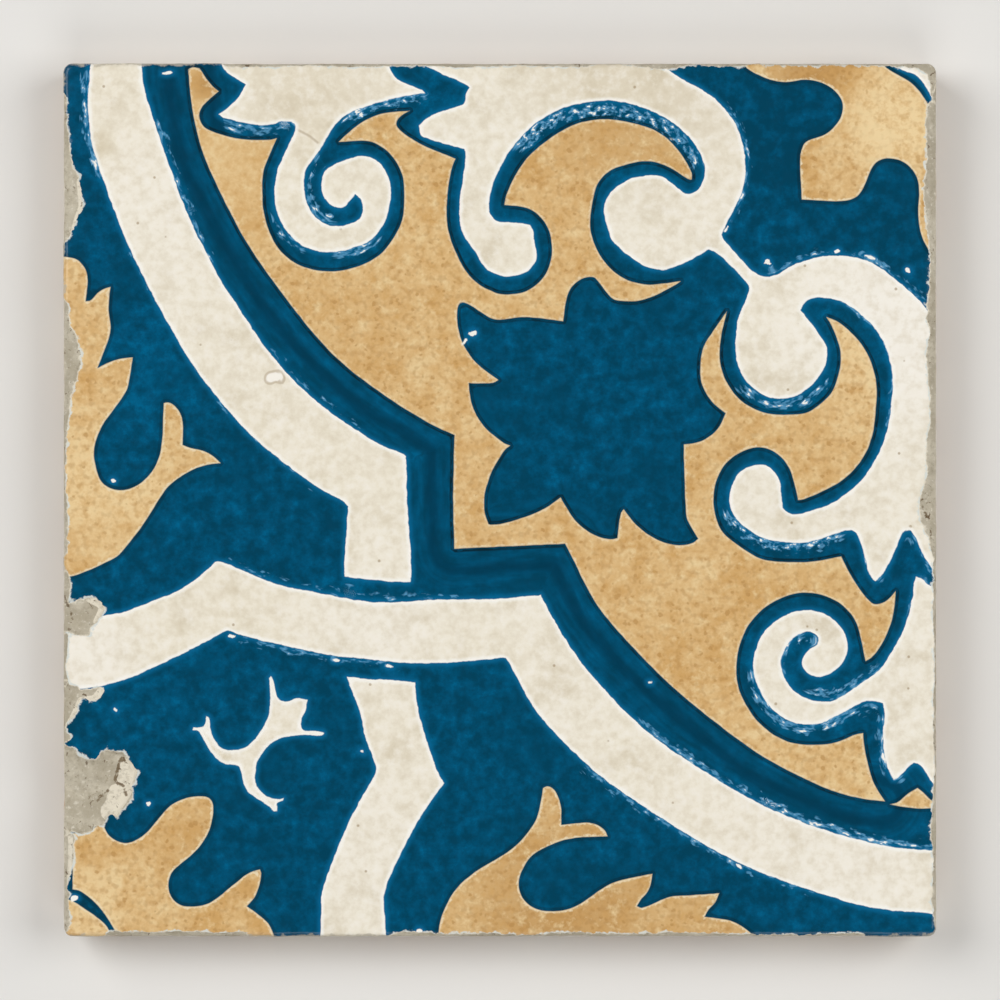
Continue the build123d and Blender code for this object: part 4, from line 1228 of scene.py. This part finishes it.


# Biscuit: buff earthenware, pressed in a mould and fired. The eye gets a dry sandy tan with darker grog,
# drips of glaze below the face and grey mortar smears here and there.
biscuitLook = {
    "clay": "#CBAC88", "clayDark": "#B89470", "clayPale": "#DAC3A4", "grog": "#8A6547", "mortar": "#B5AC9B",
    "glazeDrip": "#E4DACB", "patchSize": 9.0, "grogSize": 0.6, "smearSize": 5.0, "grogDepth": 0.15,
    "roughness": 0.88, "ior": 1.5,
    "dripSize": 4.0, "dripLength": 3.2, "dripEdge": 0.45, "dripSoft": 0.10, "dripRoughness": 0.35,
}


def pressedBiscuit(look):
    material, tree, mm = newMaterial("pressedBiscuit")
    axes = addNode(tree, "SeparateXYZ", {0: mm})
    patch = addNode(tree, "TexNoise", {"Vector": mm, "Scale": 1 / look["patchSize"], "Detail": 5.0,
                                       "Roughness": 0.6})
    grain = addNode(tree, "TexNoise", {"Vector": mm, "Scale": 1 / look["grogSize"], "Detail": 3.0,
                                       "Roughness": 0.65})
    patched = addNode(tree, "MapRange", {"Value": patch.outputs["Fac"], "From Min": 0.40, "From Max": 0.62},
                      interpolation_type="SMOOTHSTEP")
    colour = addNode(tree, "Mix", {0: patched.outputs[0], 6: srgb(look["clay"]), 7: srgb(look["clayPale"])},
                     data_type="RGBA")
    burnt = addNode(tree, "MapRange", {"Value": patch.outputs["Fac"], "From Min": 0.45, "From Max": 0.30,
                                       "To Max": 0.7}, interpolation_type="SMOOTHSTEP")
    grogged = addNode(tree, "MapRange", {"Value": grain.outputs["Fac"], "From Min": 0.62, "From Max": 0.72,
                                         "To Max": 0.7}, interpolation_type="SMOOTHSTEP")
    smear = addNode(tree, "TexNoise", {"Vector": mm, "Scale": 1 / look["smearSize"], "Detail": 5.0,
                                       "Roughness": 0.7, "Distortion": 0.5})
    smeared = addNode(tree, "MapRange", {"Value": smear.outputs["Fac"], "From Min": 0.54, "From Max": 0.62,
                                         "To Max": 0.8}, interpolation_type="SMOOTHSTEP")
    drip = addNode(tree, "TexNoise", {"Vector": mm, "Scale": 1 / look["dripSize"], "Detail": 2.0})
    dripLine = addNode(tree, "Math", {0: drip.outputs["Fac"], 1: look["dripLength"], 2: axes.outputs[2]},
                       operation="MULTIPLY_ADD")
    dripEnd = thickness - look["dripEdge"]
    glazeDrip = addNode(tree, "MapRange", {"Value": dripLine.outputs[0],
                                           "From Min": dripEnd - look["dripSoft"],
                                           "From Max": dripEnd + look["dripSoft"]},
                        interpolation_type="SMOOTHSTEP")
    for share, tint in ((burnt, "clayDark"), (grogged, "grog"), (smeared, "mortar"),
                        (glazeDrip, "glazeDrip")):
        colour = addNode(tree, "Mix", {0: share.outputs[0], 6: colour.outputs[2], 7: srgb(look[tint])},
                         data_type="RGBA")
    gloss = addNode(tree, "Mix", {0: glazeDrip.outputs[0], 2: look["roughness"], 3: look["dripRoughness"]})
    raised = addNode(tree, "Math", {0: glazeDrip.outputs[0], 1: 0.8, 2: grain.outputs["Fac"]},
                     operation="MULTIPLY_ADD")
    relief = addNode(tree, "Bump", {"Strength": 0.8, "Distance": look["grogDepth"] * metre,
                                    "Height": raised.outputs[0]})
    shader = addNode(tree, "BsdfPrincipled", {"Base Color": colour.outputs[2],
                                              "Roughness": gloss.outputs[0], "IOR": look["ior"],
                                              "Normal": relief.outputs[0]})
    finishMaterial(tree, shader)
    return material


print("glaze, crust and biscuit")
for made in (paintedGlaze(glazeLook), brokenBody(breakLook), pressedBiscuit(biscuitLook)):
    tileMesh.materials.append(made)
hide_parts("tile")
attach(glazedTile, "root")

print("floor, lamps and surroundings")
stageSetup = {
    "floorSize": 8.0, "floorColour": "#E9E7E3", "surround": "#FFFFFF", "surroundStrength": 0.05,
    "lampDistance": 0.75, "lampHeight": 0.75, "lampSize": 0.7,
}
lamps = {
    # softbox: x and y as shares of the distance, then watts
    "leftSoftbox": (-0.9, 0.45, 7.1), "rightSoftbox": (0.95, 0.2, 5.5), "nearSoftbox": (0.1, -1.0, 3.3),
}
floorMaterial, floorTree, _ = newMaterial("paintedBoard")           # matt painted board under the tile
floorShader = addNode(floorTree, "BsdfPrincipled", {"Base Color": srgb(stageSetup["floorColour"]),
                                                    "Roughness": 0.9, "IOR": 1.45})
finishMaterial(floorTree, floorShader)
half = stageSetup["floorSize"] / 2         # metres here, as the lamps' distances are
floorMesh = bpy.data.meshes.new("floor")
floorCorners = [(-half, -half, 0), (half, -half, 0), (half, half, 0), (-half, half, 0)]
floorMesh.from_pydata(floorCorners, [], [(0, 1, 2, 3)])
floorMesh.materials.append(floorMaterial)
floor = bpy.data.objects.new("floor", floorMesh)
bpy.context.scene.collection.objects.link(floor)

world = bpy.data.worlds.new("studio")
world.use_nodes = True
world.node_tree.nodes.clear()
backdrop = addNode(world.node_tree, "Background", {"Color": srgb(stageSetup["surround"]),
                                                   "Strength": stageSetup["surroundStrength"]})
addNode(world.node_tree, "OutputWorld", {"Surface": backdrop.outputs[0]})
bpy.context.scene.world = world

for name, (x, y, power) in lamps.items():
    lamp = bpy.data.objects.new(name, bpy.data.lights.new(name, "AREA"))
    lamp.data.shape = "SQUARE"
    lamp.data.size = stageSetup["lampSize"]
    lamp.data.energy = power
    away = stageSetup["lampDistance"]
    lamp.location = (x * away, y * away, stageSetup["lampHeight"])
    lamp.rotation_euler = (-lamp.location).to_track_quat("-Z", "Y").to_euler()
    bpy.context.scene.collection.objects.link(lamp)
bpy.context.scene.view_settings.view_transform = "Standard"
